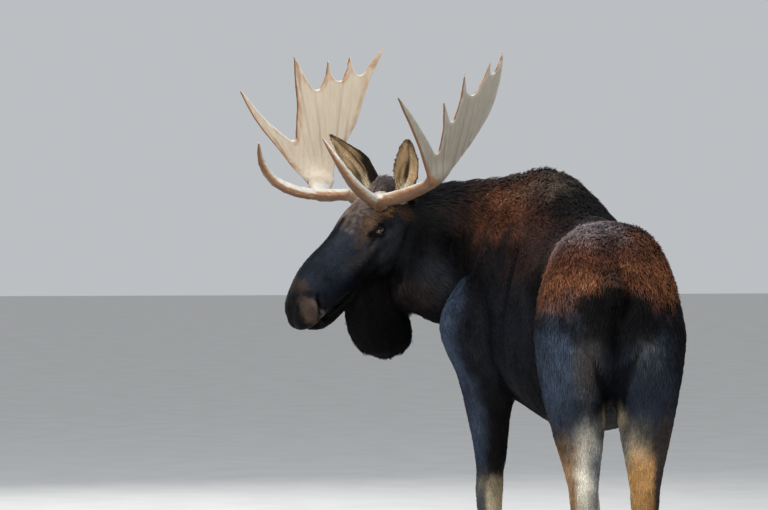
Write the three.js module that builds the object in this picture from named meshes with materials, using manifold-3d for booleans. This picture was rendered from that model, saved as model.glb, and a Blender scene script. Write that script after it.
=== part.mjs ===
/**
 * A bull moose as a still, life-size museum model.
 *
 * The animal stands on four hooves and looks back over its left shoulder. Units are millimetres, +Z is up,
 * the body heads along -Y and its left side is +X. A heading is an angle in degrees from -Y towards +X.
 *
 * The trunk and neck are rings along one bent spine. Each leg is a stack of level rings. The head, jaw, ears
 * and antlers are built in a frame of their own at the middle of the brow, between the two antler burrs.
 */
import * as THREE from 'three';
import { mergeVertices } from 'three/addons/utils/BufferGeometryUtils.js';
import Module from 'manifold-3d';

const wasm = await Module();
wasm.setup();

// ----------------------------------------------------------------------------------------------------
// Driving dimensions
// ----------------------------------------------------------------------------------------------------

const GAP = 0.4; // clearance between neighbouring pieces
const RUMP = new THREE.Vector3(0, 780, 0); // rearmost point of the spine, over the floor
const SPINE_STEP = 10; // stride in which the spine is walked
const TRUNK_END = 1500; // length along the spine where the trunk gives way to the neck
const NECK_END = 2010; // length along the spine where the neck meets the skull
const FORE_STATION = 1330; // spine length over the forelegs
const HIND_STATION = 280; // spine length over the hip joints
const HOOF_TOP = 62; // height of the coronet, where the hair ends
const KNEE_CUT = 545; // height of the parting through the knee
const HOCK_CUT = 560; // height of the parting below the hock
const THIGH_CUT = 850; // height of the parting under the trunk
const HEAD_HEADING = 113;
const HEAD_PITCH = 45; // of the face line, below level
const HEAD_ROLL = 5.5; // left side down
const BROW = new THREE.Vector3(699, -738, 1742); // midpoint between the antler burrs
const EYE_RADIUS = 20;
const EYE_SEAT = new THREE.Vector3(86, 99, -92); // down the nose, leftwards and above it in the face frame

// ----------------------------------------------------------------------------------------------------
// Curves and frames
// ----------------------------------------------------------------------------------------------------

/** A smooth curve of value against place, held level beyond its first and last knots. */
function profile(...knots) {
  const places = knots.map(([place]) => place);
  const values = knots.map(([, value]) => value);
  const curve = new THREE.CubicInterpolant(places, values, 1);
  return (place) => curve.evaluate(THREE.MathUtils.clamp(place, places[0], places.at(-1)))[0];
}

/** Level unit vectors ahead of and to the left of a heading. */
function bearings(heading) {
  const turn = THREE.MathUtils.degToRad(heading);
  return {
    ahead: new THREE.Vector3(Math.sin(turn), -Math.cos(turn), 0),
    left: new THREE.Vector3(Math.cos(turn), Math.sin(turn), 0),
  };
}

/** A cosine or sine raised to a power with its sign kept: over 1 pinches a section, under 1 squares it. */
const swell = (value, power) => Math.sign(value) * Math.abs(value) ** power;

const spineHeading = profile(
  [0, -9], [300, -9], [550, -4], [800, 5], [1050, 16], [1330, 24], [1500, 36], [1760, 76], [1980, 112],
  [2100, 114],
);

/** Where the spine passes at a length from the rump, with its bearings there. */
function spineAt(length) {
  const point = RUMP.clone();
  let walked = 0;
  while (walked < length) {
    const stride = Math.min(SPINE_STEP, length - walked);
    point.addScaledVector(bearings(spineHeading(walked + stride / 2)).ahead, stride);
    walked += stride;
  }
  return { point, ...bearings(spineHeading(length)) };
}

const headLeft = bearings(HEAD_HEADING).left;
const headAhead = bearings(HEAD_HEADING).ahead;

/** The antlers' frame: x forward, y to the animal's left and z up, tipped a little to the left. */
const antlerFrame = new THREE.Matrix4()
  .makeBasis(headAhead, headLeft, new THREE.Vector3(0, 0, 1))
  .multiply(new THREE.Matrix4().makeRotationX(THREE.MathUtils.degToRad(-HEAD_ROLL)))
  .setPosition(BROW);

/** The face frame: the antlers' frame pitched so that x runs down the bridge of the nose. */
const faceFrame = antlerFrame
  .clone()
  .multiply(new THREE.Matrix4().makeRotationY(THREE.MathUtils.degToRad(HEAD_PITCH)));

// ----------------------------------------------------------------------------------------------------
// Solids
// ----------------------------------------------------------------------------------------------------

/** Six times the signed volume of an indexed geometry: negative when its faces point inwards. */
function signedVolume(spots, index) {
  const corners = [new THREE.Vector3(), new THREE.Vector3(), new THREE.Vector3()];
  let total = 0;
  for (let i = 0; i < index.length; i += 3) {
    corners.forEach((corner, c) => corner.fromArray(spots, index[i + c] * 3));
    total += corners[0].dot(corners[1].cross(corners[2]));
  }
  return total;
}

/** A manifold solid from a closed geometry, with its faces turned outwards. */
function solid(geometry) {
  geometry.deleteAttribute('normal');
  geometry.deleteAttribute('uv');
  const merged = mergeVertices(geometry, 1e-3);
  const vertProperties = new Float32Array(merged.getAttribute('position').array);
  const triVerts = new Uint32Array(merged.index.array);
  if (signedVolume(vertProperties, triVerts) < 0) triVerts.reverse();
  return new wasm.Manifold(new wasm.Mesh({ numProp: 3, vertProperties, triVerts }));
}

/**
 * A closed skin of rings. place(t, angle, reach) gives the point of the ring at t, from 0 to 1, in the
 * direction of angle. Reach is 0 at the middle of each end face and 1 on the skin.
 */
function loft(sides, rings, place) {
  const shape = new THREE.CylinderGeometry(1, 1, 1, sides, rings);
  const spots = shape.getAttribute('position');
  for (let i = 0; i < spots.count; i += 1) {
    const across = spots.getX(i);
    const along = spots.getZ(i);
    const reach = Math.round(Math.hypot(across, along));
    const point = place(spots.getY(i) + 0.5, Math.atan2(along, across), reach);
    spots.setXYZ(i, point.x, point.y, point.z);
  }
  return solid(shape);
}

/** A tapering rod along a smooth curve through some points. wide and thick are its half sizes at t. */
function rod({ through, sides, rings, wide, thick = wide, broadside, grow = 0, frame }) {
  const curve = new THREE.CatmullRomCurve3(through.map((p) => new THREE.Vector3(...p)));
  return loft(sides, rings, (t, angle, reach) => {
    const along = curve.getTangentAt(t);
    const flat = broadside.clone().addScaledVector(along, -broadside.dot(along)).normalize();
    const edge = new THREE.Vector3().crossVectors(along, flat);
    const lengthen = t === 0 || t === 1 ? grow * Math.sign(t - 0.5) : 0;
    return curve
      .getPointAt(t)
      .addScaledVector(along, lengthen)
      .addScaledVector(edge, reach * (wide(t) + grow) * Math.cos(angle))
      .addScaledVector(flat, reach * (thick(t) + grow) * Math.sin(angle))
      .applyMatrix4(frame);
  });
}

/** The largest body of a solid, with any slivers that a cut left dropped. */
function largest(cut) {
  return cut.decompose().sort((a, b) => b.volume() - a.volume())[0];
}

/** A solid less all its neighbours, which are given grown by the gap. */
function clear(piece, ...neighbours) {
  return largest(neighbours.reduce((rest, neighbour) => rest.subtract(neighbour), piece));
}

/** Several solids joined into one. */
const joined = (...pieces) => pieces.reduce((whole, piece) => whole.add(piece));

// ----------------------------------------------------------------------------------------------------
// Trunk and neck: level top and belly lines, half width and height of the widest part, against spine length
// ----------------------------------------------------------------------------------------------------

const backLine = profile(
  [0, 1300], [12, 1360], [40, 1440], [90, 1520], [150, 1578], [220, 1622], [320, 1652], [430, 1656],
  [600, 1650], [760, 1686], [900, 1758], [1020, 1828], [1130, 1864], [1230, 1870], [1350, 1856],
  [1500, 1836], [1650, 1822], [1800, 1805], [1930, 1765], [2010, 1705],
);
const bellyLine = profile(
  [0, 1230], [12, 1160], [40, 1075], [90, 1000], [150, 950], [220, 915], [320, 890], [430, 870],
  [570, 828], [720, 803], [880, 803], [1020, 822], [1160, 856], [1300, 886], [1400, 925], [1500, 1000],
  [1600, 1100], [1700, 1170], [1800, 1212], [1900, 1250], [2010, 1310],
);
const sideLine = profile(
  [0, 40], [12, 100], [40, 158], [90, 208], [150, 242], [220, 270], [320, 284], [430, 276], [570, 274],
  [720, 294], [880, 306], [1020, 300], [1160, 286], [1300, 270], [1400, 254], [1500, 232], [1600, 206],
  [1700, 186], [1800, 172], [1900, 152], [2010, 96],
);
const girthLine = profile(
  [0, 1270], [200, 1235], [500, 1190], [800, 1160], [1100, 1190], [1300, 1240], [1500, 1400], [1700, 1500],
  [2010, 1530],
);
const ridgePinch = profile(
  [0, 0.9], [150, 0.72], [380, 0.74], [580, 1.1], [800, 1.2], [1130, 1.12], [1400, 1.1], [1800, 0.9],
  [2010, 0.9],
);
const bellyPinch = profile([0, 1], [500, 0.9], [1000, 0.95], [1400, 1.05], [1700, 1.15], [2010, 1.1]);

/** The trunk or neck between two lengths along the spine. */
function torso(from, to, sides, rings, grow = 0) {
  return loft(sides, rings, (t, angle, reach) => {
    const length = from + (to - from) * (from === 0 ? t ** 1.5 : t);
    const { point, ahead, left } = spineAt(length);
    const middle = girthLine(length);
    if (t === 0 || t === 1) point.addScaledVector(ahead, grow * Math.sign(t - 0.5));
    const upper = Math.sin(angle) > 0;
    const height = upper ? backLine(length) - middle : middle - bellyLine(length);
    const pinch = (upper ? ridgePinch : bellyPinch)(length);
    const sideways = (sideLine(length) + grow) * swell(Math.cos(angle), pinch);
    point.z = middle + reach * (height + grow) * Math.sin(angle);
    return point.addScaledVector(left, reach * sideways);
  });
}

// ----------------------------------------------------------------------------------------------------
// Legs: front and rear edges, distance from the midline and half width, against height
// ----------------------------------------------------------------------------------------------------

const FORE = {
  front: profile(
    [0, 78], [62, 74], [105, 50], [150, 50], [220, 38], [400, 44], [470, 60], [540, 66], [610, 60], [700, 70],
    [850, 112], [1000, 190], [1120, 285], [1240, 345], [1330, 325], [1430, 235], [1520, 110], [1580, -10],
  ),
  rear: profile(
    [0, -34], [62, -34], [105, -42], [150, -60], [220, -50], [400, -50], [470, -56], [540, -60], [610, -64],
    [700, -86], [850, -104], [960, -156], [1100, -178], [1300, -155], [1450, -135], [1580, -90],
  ),
  off: profile([0, 190], [500, 192], [850, 200], [1050, 208], [1250, 212], [1400, 178], [1580, 105]),
  half: profile(
    [0, 58], [62, 50], [105, 42], [150, 47], [220, 37], [400, 41], [470, 50], [540, 54], [610, 53], [700, 62],
    [850, 80], [1000, 96], [1120, 110], [1270, 116], [1400, 94], [1500, 60], [1580, 20],
  ),
};
const HIND = {
  front: profile(
    [0, -128], [62, -140], [105, -190], [150, -192], [220, -214], [400, -220], [500, -218], [570, -202],
    [620, -188], [680, -166], [730, -138], [790, -88], [860, -10], [930, 75], [1050, 160], [1200, 195],
    [1330, 165], [1430, 90], [1500, 0],
  ),
  rear: profile(
    [0, -250], [62, -250], [105, -276], [150, -302], [220, -298], [400, -306], [500, -322], [570, -346],
    [635, -352], [680, -326], [730, -302], [790, -286], [930, -274], [1050, -268], [1200, -250],
    [1330, -210], [1430, -150], [1500, -80],
  ),
  off: profile(
    [0, 120], [300, 117], [600, 116], [790, 126], [930, 135], [1100, 142], [1250, 142], [1400, 120],
    [1500, 90],
  ),
  half: profile(
    [0, 56], [62, 48], [105, 40], [150, 46], [220, 37], [400, 41], [500, 48], [570, 56], [620, 58], [680, 68],
    [790, 92], [930, 120], [1050, 136], [1180, 143], [1300, 136], [1400, 110], [1460, 76], [1500, 30],
  ),
};
const SHOULDER = { form: FORE, station: FORE_STATION, top: 1580, knee: KNEE_CUT };
const HIP = { form: HIND, station: HIND_STATION, top: 1500, knee: HOCK_CUT };
const LEGS = [
  { name: 'fore_left', ...SHOULDER, side: 1, stride: 10, splay: 4 },
  { name: 'fore_right', ...SHOULDER, side: -1, stride: -230, splay: 0 },
  { name: 'hind_left', ...HIP, side: 1, stride: 25, splay: -10 },
  { name: 'hind_right', ...HIP, side: -1, stride: -25, splay: 8 },
];
const WRAP = 0.3; // how far a shoulder or haunch curls inwards at its front edge, as a share of its length
const STRIDE_TOP = 1150; // height above which a leg's stride no longer moves it

/** The level outline of a leg at a height: its middle, its bearings and its half sizes. */
function legAt(leg, height) {
  const { point, ahead, left } = spineAt(leg.station);
  const swing = THREE.MathUtils.smoothstep(STRIDE_TOP - height, 0, STRIDE_TOP);
  const front = leg.form.front(height);
  const rear = leg.form.rear(height);
  point.z = height;
  point.addScaledVector(ahead, (front + rear) / 2 + leg.stride * swing);
  point.addScaledVector(left, leg.side * (leg.form.off(height) + leg.splay * swing));
  return { point, ahead, left, long: (front - rear) / 2, half: leg.form.half(height) };
}

/** A length of a leg between two heights. */
function limb(leg, from, to, sides, rings, grow = 0) {
  return loft(sides, rings, (t, angle, reach) => {
    const { point, ahead, left, long, half } = legAt(leg, from + (to - from) * t);
    const forward = reach * swell(Math.cos(angle), 0.92);
    const curl = WRAP * Math.max(0, forward) ** 2 * THREE.MathUtils.smoothstep(point.z, 800, 1200);
    const tuck = -leg.side * long * curl;
    return point
      .addScaledVector(ahead, (long + grow) * forward)
      .addScaledVector(left, tuck + reach * (half + grow) * swell(Math.sin(angle), 0.92));
  });
}

const CLAW_LENGTH = 150;
const CLAW_WIDTH = 56;
const CLEFT = 7; // between the two claws of a hoof
const DEWCLAW_LENGTH = 62;

/** One claw of a cloven hoof, flat underneath, round at the heel and drawn to a point at the toe. */
function claw(leg, side) {
  const { point, ahead, left } = legAt(leg, HOOF_TOP);
  point.z = 0;
  return loft(10, 2, (t, angle, reach) => {
    const length = (CLAW_LENGTH / 2) * (1 - 0.16 * t);
    const along = Math.cos(angle);
    const taper = 1 - 0.42 * Math.max(0, along) ** 1.6;
    const width = (CLAW_WIDTH / 2) * (1 - 0.1 * t) * taper;
    const inner = Math.sin(angle) * side < 0 ? 0.82 : 1;
    const slope = along > 0 ? 1 - 0.28 * along * t : 1;
    const middle = (CLAW_WIDTH + CLEFT) / 2 - 3 * t;
    return point
      .clone()
      .addScaledVector(ahead, 18 - 8 * t + reach * length * along)
      .addScaledVector(left, side * middle + reach * width * inner * Math.sin(angle))
      .setZ((HOOF_TOP - GAP) * t * slope ** (reach * t));
  });
}

/** One of the two small claws behind the fetlock, pointing down and out. */
function dewclaw(leg, side) {
  const { point, ahead, left } = legAt(leg, 118);
  const root = point.clone().addScaledVector(left, side * 26);
  const back = leg.form === FORE ? -36 : -38;
  const tip = root
    .clone()
    .addScaledVector(ahead, back - 30)
    .addScaledVector(left, side * 12)
    .setZ(root.z - DEWCLAW_LENGTH);
  root.addScaledVector(ahead, back);
  return rod({
    through: [root, root.clone().lerp(tip, 0.5), tip].map((spot) => spot.toArray()),
    sides: 6,
    rings: 2,
    wide: profile([0, 16], [0.6, 15], [1, 5]),
    thick: profile([0, 12], [0.6, 11], [1, 4]),
    broadside: ahead,
    frame: new THREE.Matrix4(),
  });
}

// ----------------------------------------------------------------------------------------------------
// Head: bridge and throat lines, half width and height of the widest part, against distance down the face
// ----------------------------------------------------------------------------------------------------

const NOSE_TIP = 600;
const bridgeLine = profile(
  [-130, -50], [-80, -8], [-30, 8], [20, 18], [80, 27], [140, 28], [210, 22], [290, 17], [360, 16], [420, 10],
  [470, -4], [520, -27], [560, -54], [585, -80], [NOSE_TIP, -112],
);
const throatLine = profile(
  [-130, -210], [-80, -270], [-30, -300], [30, -318], [90, -320], [150, -306], [220, -280], [300, -250],
  [370, -216], [430, -200], [490, -192], [540, -190], [570, -186], [590, -178], [NOSE_TIP, -156],
);
const cheekLine = profile(
  [-130, 70], [-80, 96], [-30, 106], [30, 112], [85, 112], [140, 102], [210, 84], [290, 73], [360, 72],
  [420, 80], [470, 89], [520, 93], [560, 88], [585, 72], [NOSE_TIP, 40],
);
const cheekHeight = profile(
  [-130, -130], [0, -120], [85, -96], [160, -120], [290, -140], [430, -112], [NOSE_TIP, -134],
);

/** The skull and upper muzzle. */
function skull(grow = 0) {
  return loft(18, 16, (t, angle, reach) => {
    const down = THREE.MathUtils.lerp(-130, NOSE_TIP, 1 - (1 - t) ** 1.25);
    const middle = cheekHeight(down);
    const upper = Math.sin(angle) > 0;
    const height = upper ? bridgeLine(down) - middle : middle - throatLine(down);
    const sideways = (cheekLine(down) + grow) * swell(Math.cos(angle), upper ? 0.85 : 0.9);
    const along = down + grow * Math.sign(t - 0.5);
    return new THREE.Vector3(along, reach * sideways, middle + reach * (height + grow) * Math.sin(angle))
      .applyMatrix4(faceFrame);
  });
}

/** The lower jaw in front of the cheeks, ending in the hanging lower lip. */
function lowerJaw(grow = 0) {
  const upperEdge = profile([250, -205], [330, -204], [430, -196], [510, -184], [575, -178]);
  const lowerEdge = profile([250, -250], [330, -256], [430, -258], [500, -250], [550, -228], [575, -200]);
  const width = profile([250, 44], [330, 48], [430, 50], [510, 54], [555, 44], [575, 22]);
  return loft(14, 7, (t, angle, reach) => {
    const down = THREE.MathUtils.lerp(250, 575, t);
    const middle = (upperEdge(down) + lowerEdge(down)) / 2;
    const height = (upperEdge(down) - lowerEdge(down)) / 2;
    return new THREE.Vector3(
      down,
      reach * (width(down) + grow) * Math.cos(angle),
      middle + reach * (height + grow) * swell(Math.sin(angle), 0.85),
    ).applyMatrix4(faceFrame);
  });
}

/** The bell: a broad flap of skin that hangs in the middle plane under the throat. */
function bell(grow = 0) {
  const fore = profile([-672, -80], [-655, -30], [-610, 18], [-550, 60], [-480, 96], [-400, 118], [-320, 80]);
  const aft = profile(
    [-672, -135], [-655, -178], [-610, -214], [-550, -230], [-480, -230], [-400, -200], [-320, -150],
  );
  const width = profile([-672, 14], [-655, 34], [-610, 50], [-550, 58], [-480, 60], [-400, 58], [-320, 44]);
  return loft(12, 7, (t, angle, reach) => {
    const height = THREE.MathUtils.lerp(-672, -320, t ** 1.25);
    const middle = (fore(height) + aft(height)) / 2;
    const long = (fore(height) - aft(height)) / 2;
    return new THREE.Vector3(
      middle + reach * (long + grow) * Math.cos(angle),
      reach * (width(height) + grow) * Math.sin(angle),
      height,
    ).applyMatrix4(antlerFrame);
  });
}

/** An eyeball, which a grown copy also seats in the skull. */
function eye(side, grow = 0) {
  const ball = new THREE.SphereGeometry(EYE_RADIUS + grow, 12, 8);
  ball.translate(EYE_SEAT.x, side * EYE_SEAT.y, EYE_SEAT.z);
  return solid(ball.applyMatrix4(faceFrame));
}

const EARS = {
  left: { root: [-92, 84, -10], bend: [-104, 116, 120], tip: [-84, 142, 258], mouth: [0.7, 0.7, 0] },
  right: { root: [-96, -92, -6], bend: [-62, -196, 122], tip: [22, -300, 240], mouth: [0.66, 0.5, -0.56] },
};

/** A long leaf-shaped ear, cupped towards its mouth. */
function ear({ root, bend, tip, mouth }) {
  const curve = new THREE.CatmullRomCurve3([root, bend, tip].map((p) => new THREE.Vector3(...p)));
  const width = profile([0, 30], [0.2, 44], [0.45, 60], [0.7, 54], [0.9, 28], [1, 8]);
  const thick = profile([0, 26], [0.25, 13], [0.6, 9], [1, 5]);
  const cup = profile([0, 6], [0.3, 38], [0.6, 34], [0.85, 14], [1, 2]);
  const towards = new THREE.Vector3(...mouth);
  return loft(12, 7, (t, angle, reach) => {
    const along = curve.getTangentAt(t);
    const open = towards.clone().addScaledVector(along, -towards.dot(along)).normalize();
    const edge = new THREE.Vector3().crossVectors(along, open);
    const across = reach * Math.cos(angle);
    return curve
      .getPointAt(t)
      .addScaledVector(edge, width(t) * across)
      .addScaledVector(open, cup(t) * (across * across - 0.5) + reach * thick(t) * Math.sin(angle))
      .applyMatrix4(antlerFrame);
  });
}

// ----------------------------------------------------------------------------------------------------
// Antlers: a beam out to the side, a lower and an upper brow tine, and an upright palm with four tines.
// Points of the palm are [forward, up] in its own leaning plane. Other points are [forward, outward, up].
// ----------------------------------------------------------------------------------------------------

const OUTWARD = new THREE.Vector3(0, 1, 0);
const UPWARD = new THREE.Vector3(0, 0, 1);
const ANTLERS = {
  left: {
    side: 1,
    fork: [92, 222, 8],
    foot: [-24, 470, 112],
    heart: [-95, 235],
    front: [[8, 128], [-9, 200], [-20, 330]],
    tips: [[2, 440], [-100, 556], [-246, 606], [-312, 642]],
    valleys: [[-68, 343], [-168, 462], [-284, 532]],
    rear: [[-316, 540], [-302, 452], [-270, 372], [-192, 262], [-108, 168], [-58, 112]],
    lowerBrow: [[172, 260, 30], [266, 290, 92], [338, 286, 178], [392, 250, 266]],
    upperBrow: [[62, 236], [172, 360], [270, 458]],
    browWidths: [36, 36, 27, 18, 11, 4],
  },
  right: {
    side: -1,
    fork: [92, 240, -10],
    foot: [-34, 452, 34],
    heart: [-62, 200],
    front: [[22, 36], [60, 208], [50, 346]],
    tips: [[60, 554], [-88, 550], [-182, 570], [-332, 608]],
    valleys: [[-36, 404], [-134, 448], [-222, 476]],
    rear: [[-266, 472], [-230, 373], [-200, 283], [-148, 189], [-100, 104], [-86, 34]],
    lowerBrow: [[200, 262, 4], [288, 290, 44], [356, 284, 118], [398, 246, 206]],
    upperBrow: [[130, 196], [208, 276], [290, 400]],
    browWidths: [58, 52, 36, 22, 13, 4],
  },
};
const PALM_THICK = 9; // half thickness of the blade
const PALM_RINGS = 5; // rings of the ball that the blade is pressed from, none of them on its widest line
const RIM_REACH = Math.cos(Math.PI / (2 * PALM_RINGS)); // how far out its widest rings stand

/** How far out from the middle of the head the palm's plane stands at a place forward and up. */
const palmPlane = (forward, up) => 430 + 0.16 * (up - 60) + 0.28 * (forward + 140);

/** Sets points [forward, outward, up] on the left or right of the head. */
const onSide = (side, points) => points.map(([x, y, z]) => [x, side * y, z]);

/** Lifts points [forward, up] onto the palm's plane. */
const onPalm = (points) => points.map(([x, z]) => [x, palmPlane(x, z), z]);

/** The beam, from its burr on the brow past the lower brow tine out to the foot of the palm. */
function beam({ side, fork, foot }, grow = 0) {
  return rod({
    through: onSide(side, [[-14, 48, -30], [-2, 84, -2], [40, 142, 0], fork, [46, 340, fork[2] + 34], foot]),
    sides: 12,
    rings: 11,
    wide: profile([0, 36], [0.07, 40], [0.12, 38], [0.17, 30], [0.4, 32], [0.6, 31], [0.85, 35], [1, 36]),
    thick: profile([0, 36], [0.07, 40], [0.12, 38], [0.17, 28], [0.4, 27], [0.8, 26], [1, 14]),
    broadside: UPWARD,
    grow,
    frame: antlerFrame,
  });
}

/** The lower brow tine, which sweeps forward from the beam and turns up. */
function lowerBrow({ side, fork, lowerBrow: points }) {
  return rod({
    through: onSide(side, [[fork[0] - 40, fork[1] - 30, fork[2]], fork, ...points]),
    sides: 9,
    rings: 9,
    wide: profile([0, 26], [0.3, 29], [0.55, 25], [0.8, 16], [1, 4]),
    thick: profile([0, 22], [0.3, 25], [0.55, 22], [0.8, 14], [1, 4]),
    broadside: UPWARD,
    frame: antlerFrame,
  });
}

/** The upper brow tine, which leaves the foot of the palm forward and up. */
function upperBrow({ side, foot, upperBrow: points, browWidths }) {
  return rod({
    through: onSide(side, [foot, ...onPalm(points)]),
    sides: 9,
    rings: 8,
    wide: profile(...browWidths.map((half, i) => [[0, 0.2, 0.4, 0.65, 0.85, 1][i], half])),
    thick: profile([0, 4], [0.18, 7], [0.34, 12], [0.75, 12], [1, 4]),
    broadside: OUTWARD,
    frame: antlerFrame,
  });
}

/** Two points on the flanks of a tine, which narrow it quickly above the valleys on either side. */
function flanks(before, tip, after, pull) {
  const mix = (a, b, amount) => a.map((value, axis) => THREE.MathUtils.lerp(value, b[axis], amount));
  const middle = mix(before, after, 0.5);
  return [before, after].map((valley) => mix(mix(valley, middle, pull), tip, 0.45));
}

/** The palm: a leaning blade whose rim runs up the front edge, over the tines and down the rear edge. */
function palm({ side, heart, front, tips, valleys, rear }, grow = 0) {
  const [, outerFlank] = flanks(front[2], tips[0], valleys[0], 0.3);
  const [lastFlank] = flanks(valleys[2], tips[3], rear[0], 0.2);
  const [second, third] = [1, 2].map((i) => flanks(valleys[i - 1], tips[i], valleys[i], 0.62));
  const rim = [
    ...front, tips[0], outerFlank, valleys[0], second[0], tips[1], second[1], valleys[1],
    third[0], tips[2], third[1], valleys[2], lastFlank, tips[3], ...rear,
  ];
  const knots = rim.map(([x, z]) => new THREE.Vector3(x, 0, z));
  const curve = new THREE.CatmullRomCurve3(knots, true, 'catmullrom', 0.35);
  const disc = new THREE.SphereGeometry(1, rim.length * 2, PALM_RINGS);
  const spots = disc.getAttribute('position');
  for (let i = 0; i < spots.count; i += 1) {
    const [x, y, z] = [spots.getX(i), spots.getY(i), spots.getZ(i)];
    const reach = Math.min(1, Math.hypot(x, z) / RIM_REACH);
    const turn = THREE.MathUtils.euclideanModulo(Math.atan2(z, -x) / (2 * Math.PI), 1);
    const edge = curve.getPoint(turn);
    const forward = THREE.MathUtils.lerp(heart[0], edge.x, reach * (1 + grow / 200));
    const up = THREE.MathUtils.lerp(heart[1], edge.z, reach * (1 + grow / 200));
    const foot = 1 + 0.7 * Math.max(0, 1 - (up - rear.at(-1)[1]) / 120);
    const bulge = swell(Math.round(y * 1e6) / 1e6, 0.5) * (PALM_THICK * foot + grow);
    spots.setXYZ(i, forward, side * (palmPlane(forward, up) + bulge), up);
  }
  return solid(disc.applyMatrix4(antlerFrame));
}

// ----------------------------------------------------------------------------------------------------
// Assembly
// ----------------------------------------------------------------------------------------------------

const moose = new THREE.Group();

const finishes = {
  coat: new THREE.MeshStandardMaterial({ color: 0x1a1513, roughness: 0.85, metalness: 0 }),
  paleHair: new THREE.MeshStandardMaterial({ color: 0x8a7763, roughness: 0.9, metalness: 0 }),
  antler: new THREE.MeshStandardMaterial({ color: 0x9c8a74, roughness: 0.6, metalness: 0 }),
  eye: new THREE.MeshStandardMaterial({ color: 0x1c0f08, roughness: 0.1, metalness: 0 }),
  hoof: new THREE.MeshStandardMaterial({ color: 0x221c18, roughness: 0.55, metalness: 0 }),
};

/** Adds a solid to the moose as a named mesh. */
function add(name, piece, finish) {
  const { vertProperties, triVerts } = piece.getMesh();
  const geometry = new THREE.BufferGeometry();
  geometry.setAttribute('position', new THREE.BufferAttribute(new Float32Array(vertProperties), 3));
  geometry.setIndex(new THREE.BufferAttribute(new Uint32Array(triVerts), 1));
  geometry.computeVertexNormals();
  const mesh = new THREE.Mesh(geometry, finish.clone());
  mesh.name = name;
  moose.add(mesh);
}

const haunches = LEGS.map((leg) => limb(leg, THIGH_CUT + GAP, leg.top, 13, 8));
const grownHaunches = LEGS.map((leg) => limb(leg, THIGH_CUT, leg.top, 13, 8, GAP));
const skullRoom = skull(GAP);
const neckRoom = torso(TRUNK_END, NECK_END, 16, 7, GAP);
const jawRoom = lowerJaw(GAP);
const eyeRooms = [eye(1, GAP), eye(-1, GAP)];
const beamRooms = Object.values(ANTLERS).map((antler) => beam(antler, GAP));

add('trunk', largest(joined(torso(0, TRUNK_END - GAP, 20, 16), ...haunches)), finishes.coat);
add('neck', clear(torso(TRUNK_END, NECK_END, 16, 7), ...grownHaunches, skullRoom), finishes.coat);
add('head', clear(skull(), jawRoom, ...eyeRooms, ...beamRooms), finishes.coat);
add('jaw', lowerJaw(), finishes.coat);
add('bell', clear(bell(), neckRoom, skullRoom, jawRoom), finishes.coat);
Object.entries(EARS).forEach(([name, place]) => {
  add(`ear_${name}`, clear(ear(place), skullRoom, neckRoom, ...beamRooms), finishes.coat);
});
[['left', 1], ['right', -1]].forEach(([name, side]) => add(`eye_${name}`, eye(side), finishes.eye));

const TAIL = [[0, 752, 1452], [2, 792, 1408], [3, 806, 1350], [3, 802, 1302]];
add(
  'tail',
  clear(
    rod({
      through: TAIL,
      sides: 10,
      rings: 5,
      wide: profile([0, 30], [0.4, 31], [0.75, 24], [1, 8]),
      thick: profile([0, 20], [0.4, 19], [0.75, 14], [1, 6]),
      broadside: OUTWARD,
      frame: new THREE.Matrix4(),
    }),
    torso(0, TRUNK_END - GAP, 20, 17, GAP),
    ...grownHaunches,
  ),
  finishes.coat,
);

LEGS.forEach((leg) => {
  add(`leg_${leg.name}_upper`, limb(leg, leg.knee + GAP, THIGH_CUT, 14, 4), finishes.coat);
  add(`leg_${leg.name}_lower`, limb(leg, HOOF_TOP, leg.knee, 12, 8), finishes.paleHair);
  const ground = limb(leg, HOOF_TOP, leg.knee, 12, 8, GAP);
  [['outer', leg.side], ['inner', -leg.side]].forEach(([name, side]) => {
    add(`claw_${leg.name}_${name}`, claw(leg, side), finishes.hoof);
    add(`dewclaw_${leg.name}_${name}`, clear(dewclaw(leg, side), ground), finishes.hoof);
  });
});

Object.entries(ANTLERS).forEach(([name, antler]) => {
  const beamRoom = beam(antler, GAP);
  const palmRoom = palm(antler, GAP);
  add(`antler_${name}_beam`, beam(antler), finishes.antler);
  add(`antler_${name}_brow_lower`, clear(lowerBrow(antler), beamRoom), finishes.antler);
  add(`antler_${name}_brow_upper`, clear(upperBrow(antler), beamRoom, palmRoom), finishes.antler);
  add(`antler_${name}_palm`, clear(palm(antler), beamRoom), finishes.antler);
});

/** Moves every mesh so that the origin is on the floor in the middle of the model's bounding box. */
function centre(group) {
  const box = new THREE.Box3().setFromObject(group, true);
  const middle = box.getCenter(new THREE.Vector3()).setZ(box.min.z);
  group.children.forEach((mesh) => mesh.geometry.translate(-middle.x, -middle.y, -middle.z));
}

centre(moose);

export default moose;
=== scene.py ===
"""Looks of a life-size bull moose: skin, coat of hair, antlers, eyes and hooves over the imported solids."""

import sys
import logging
import math
from dataclasses import dataclass
from enum import Enum

import bpy
import numpy as np
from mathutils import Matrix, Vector
from mathutils.bvhtree import BVHTree
from mathutils.kdtree import KDTree


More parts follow.
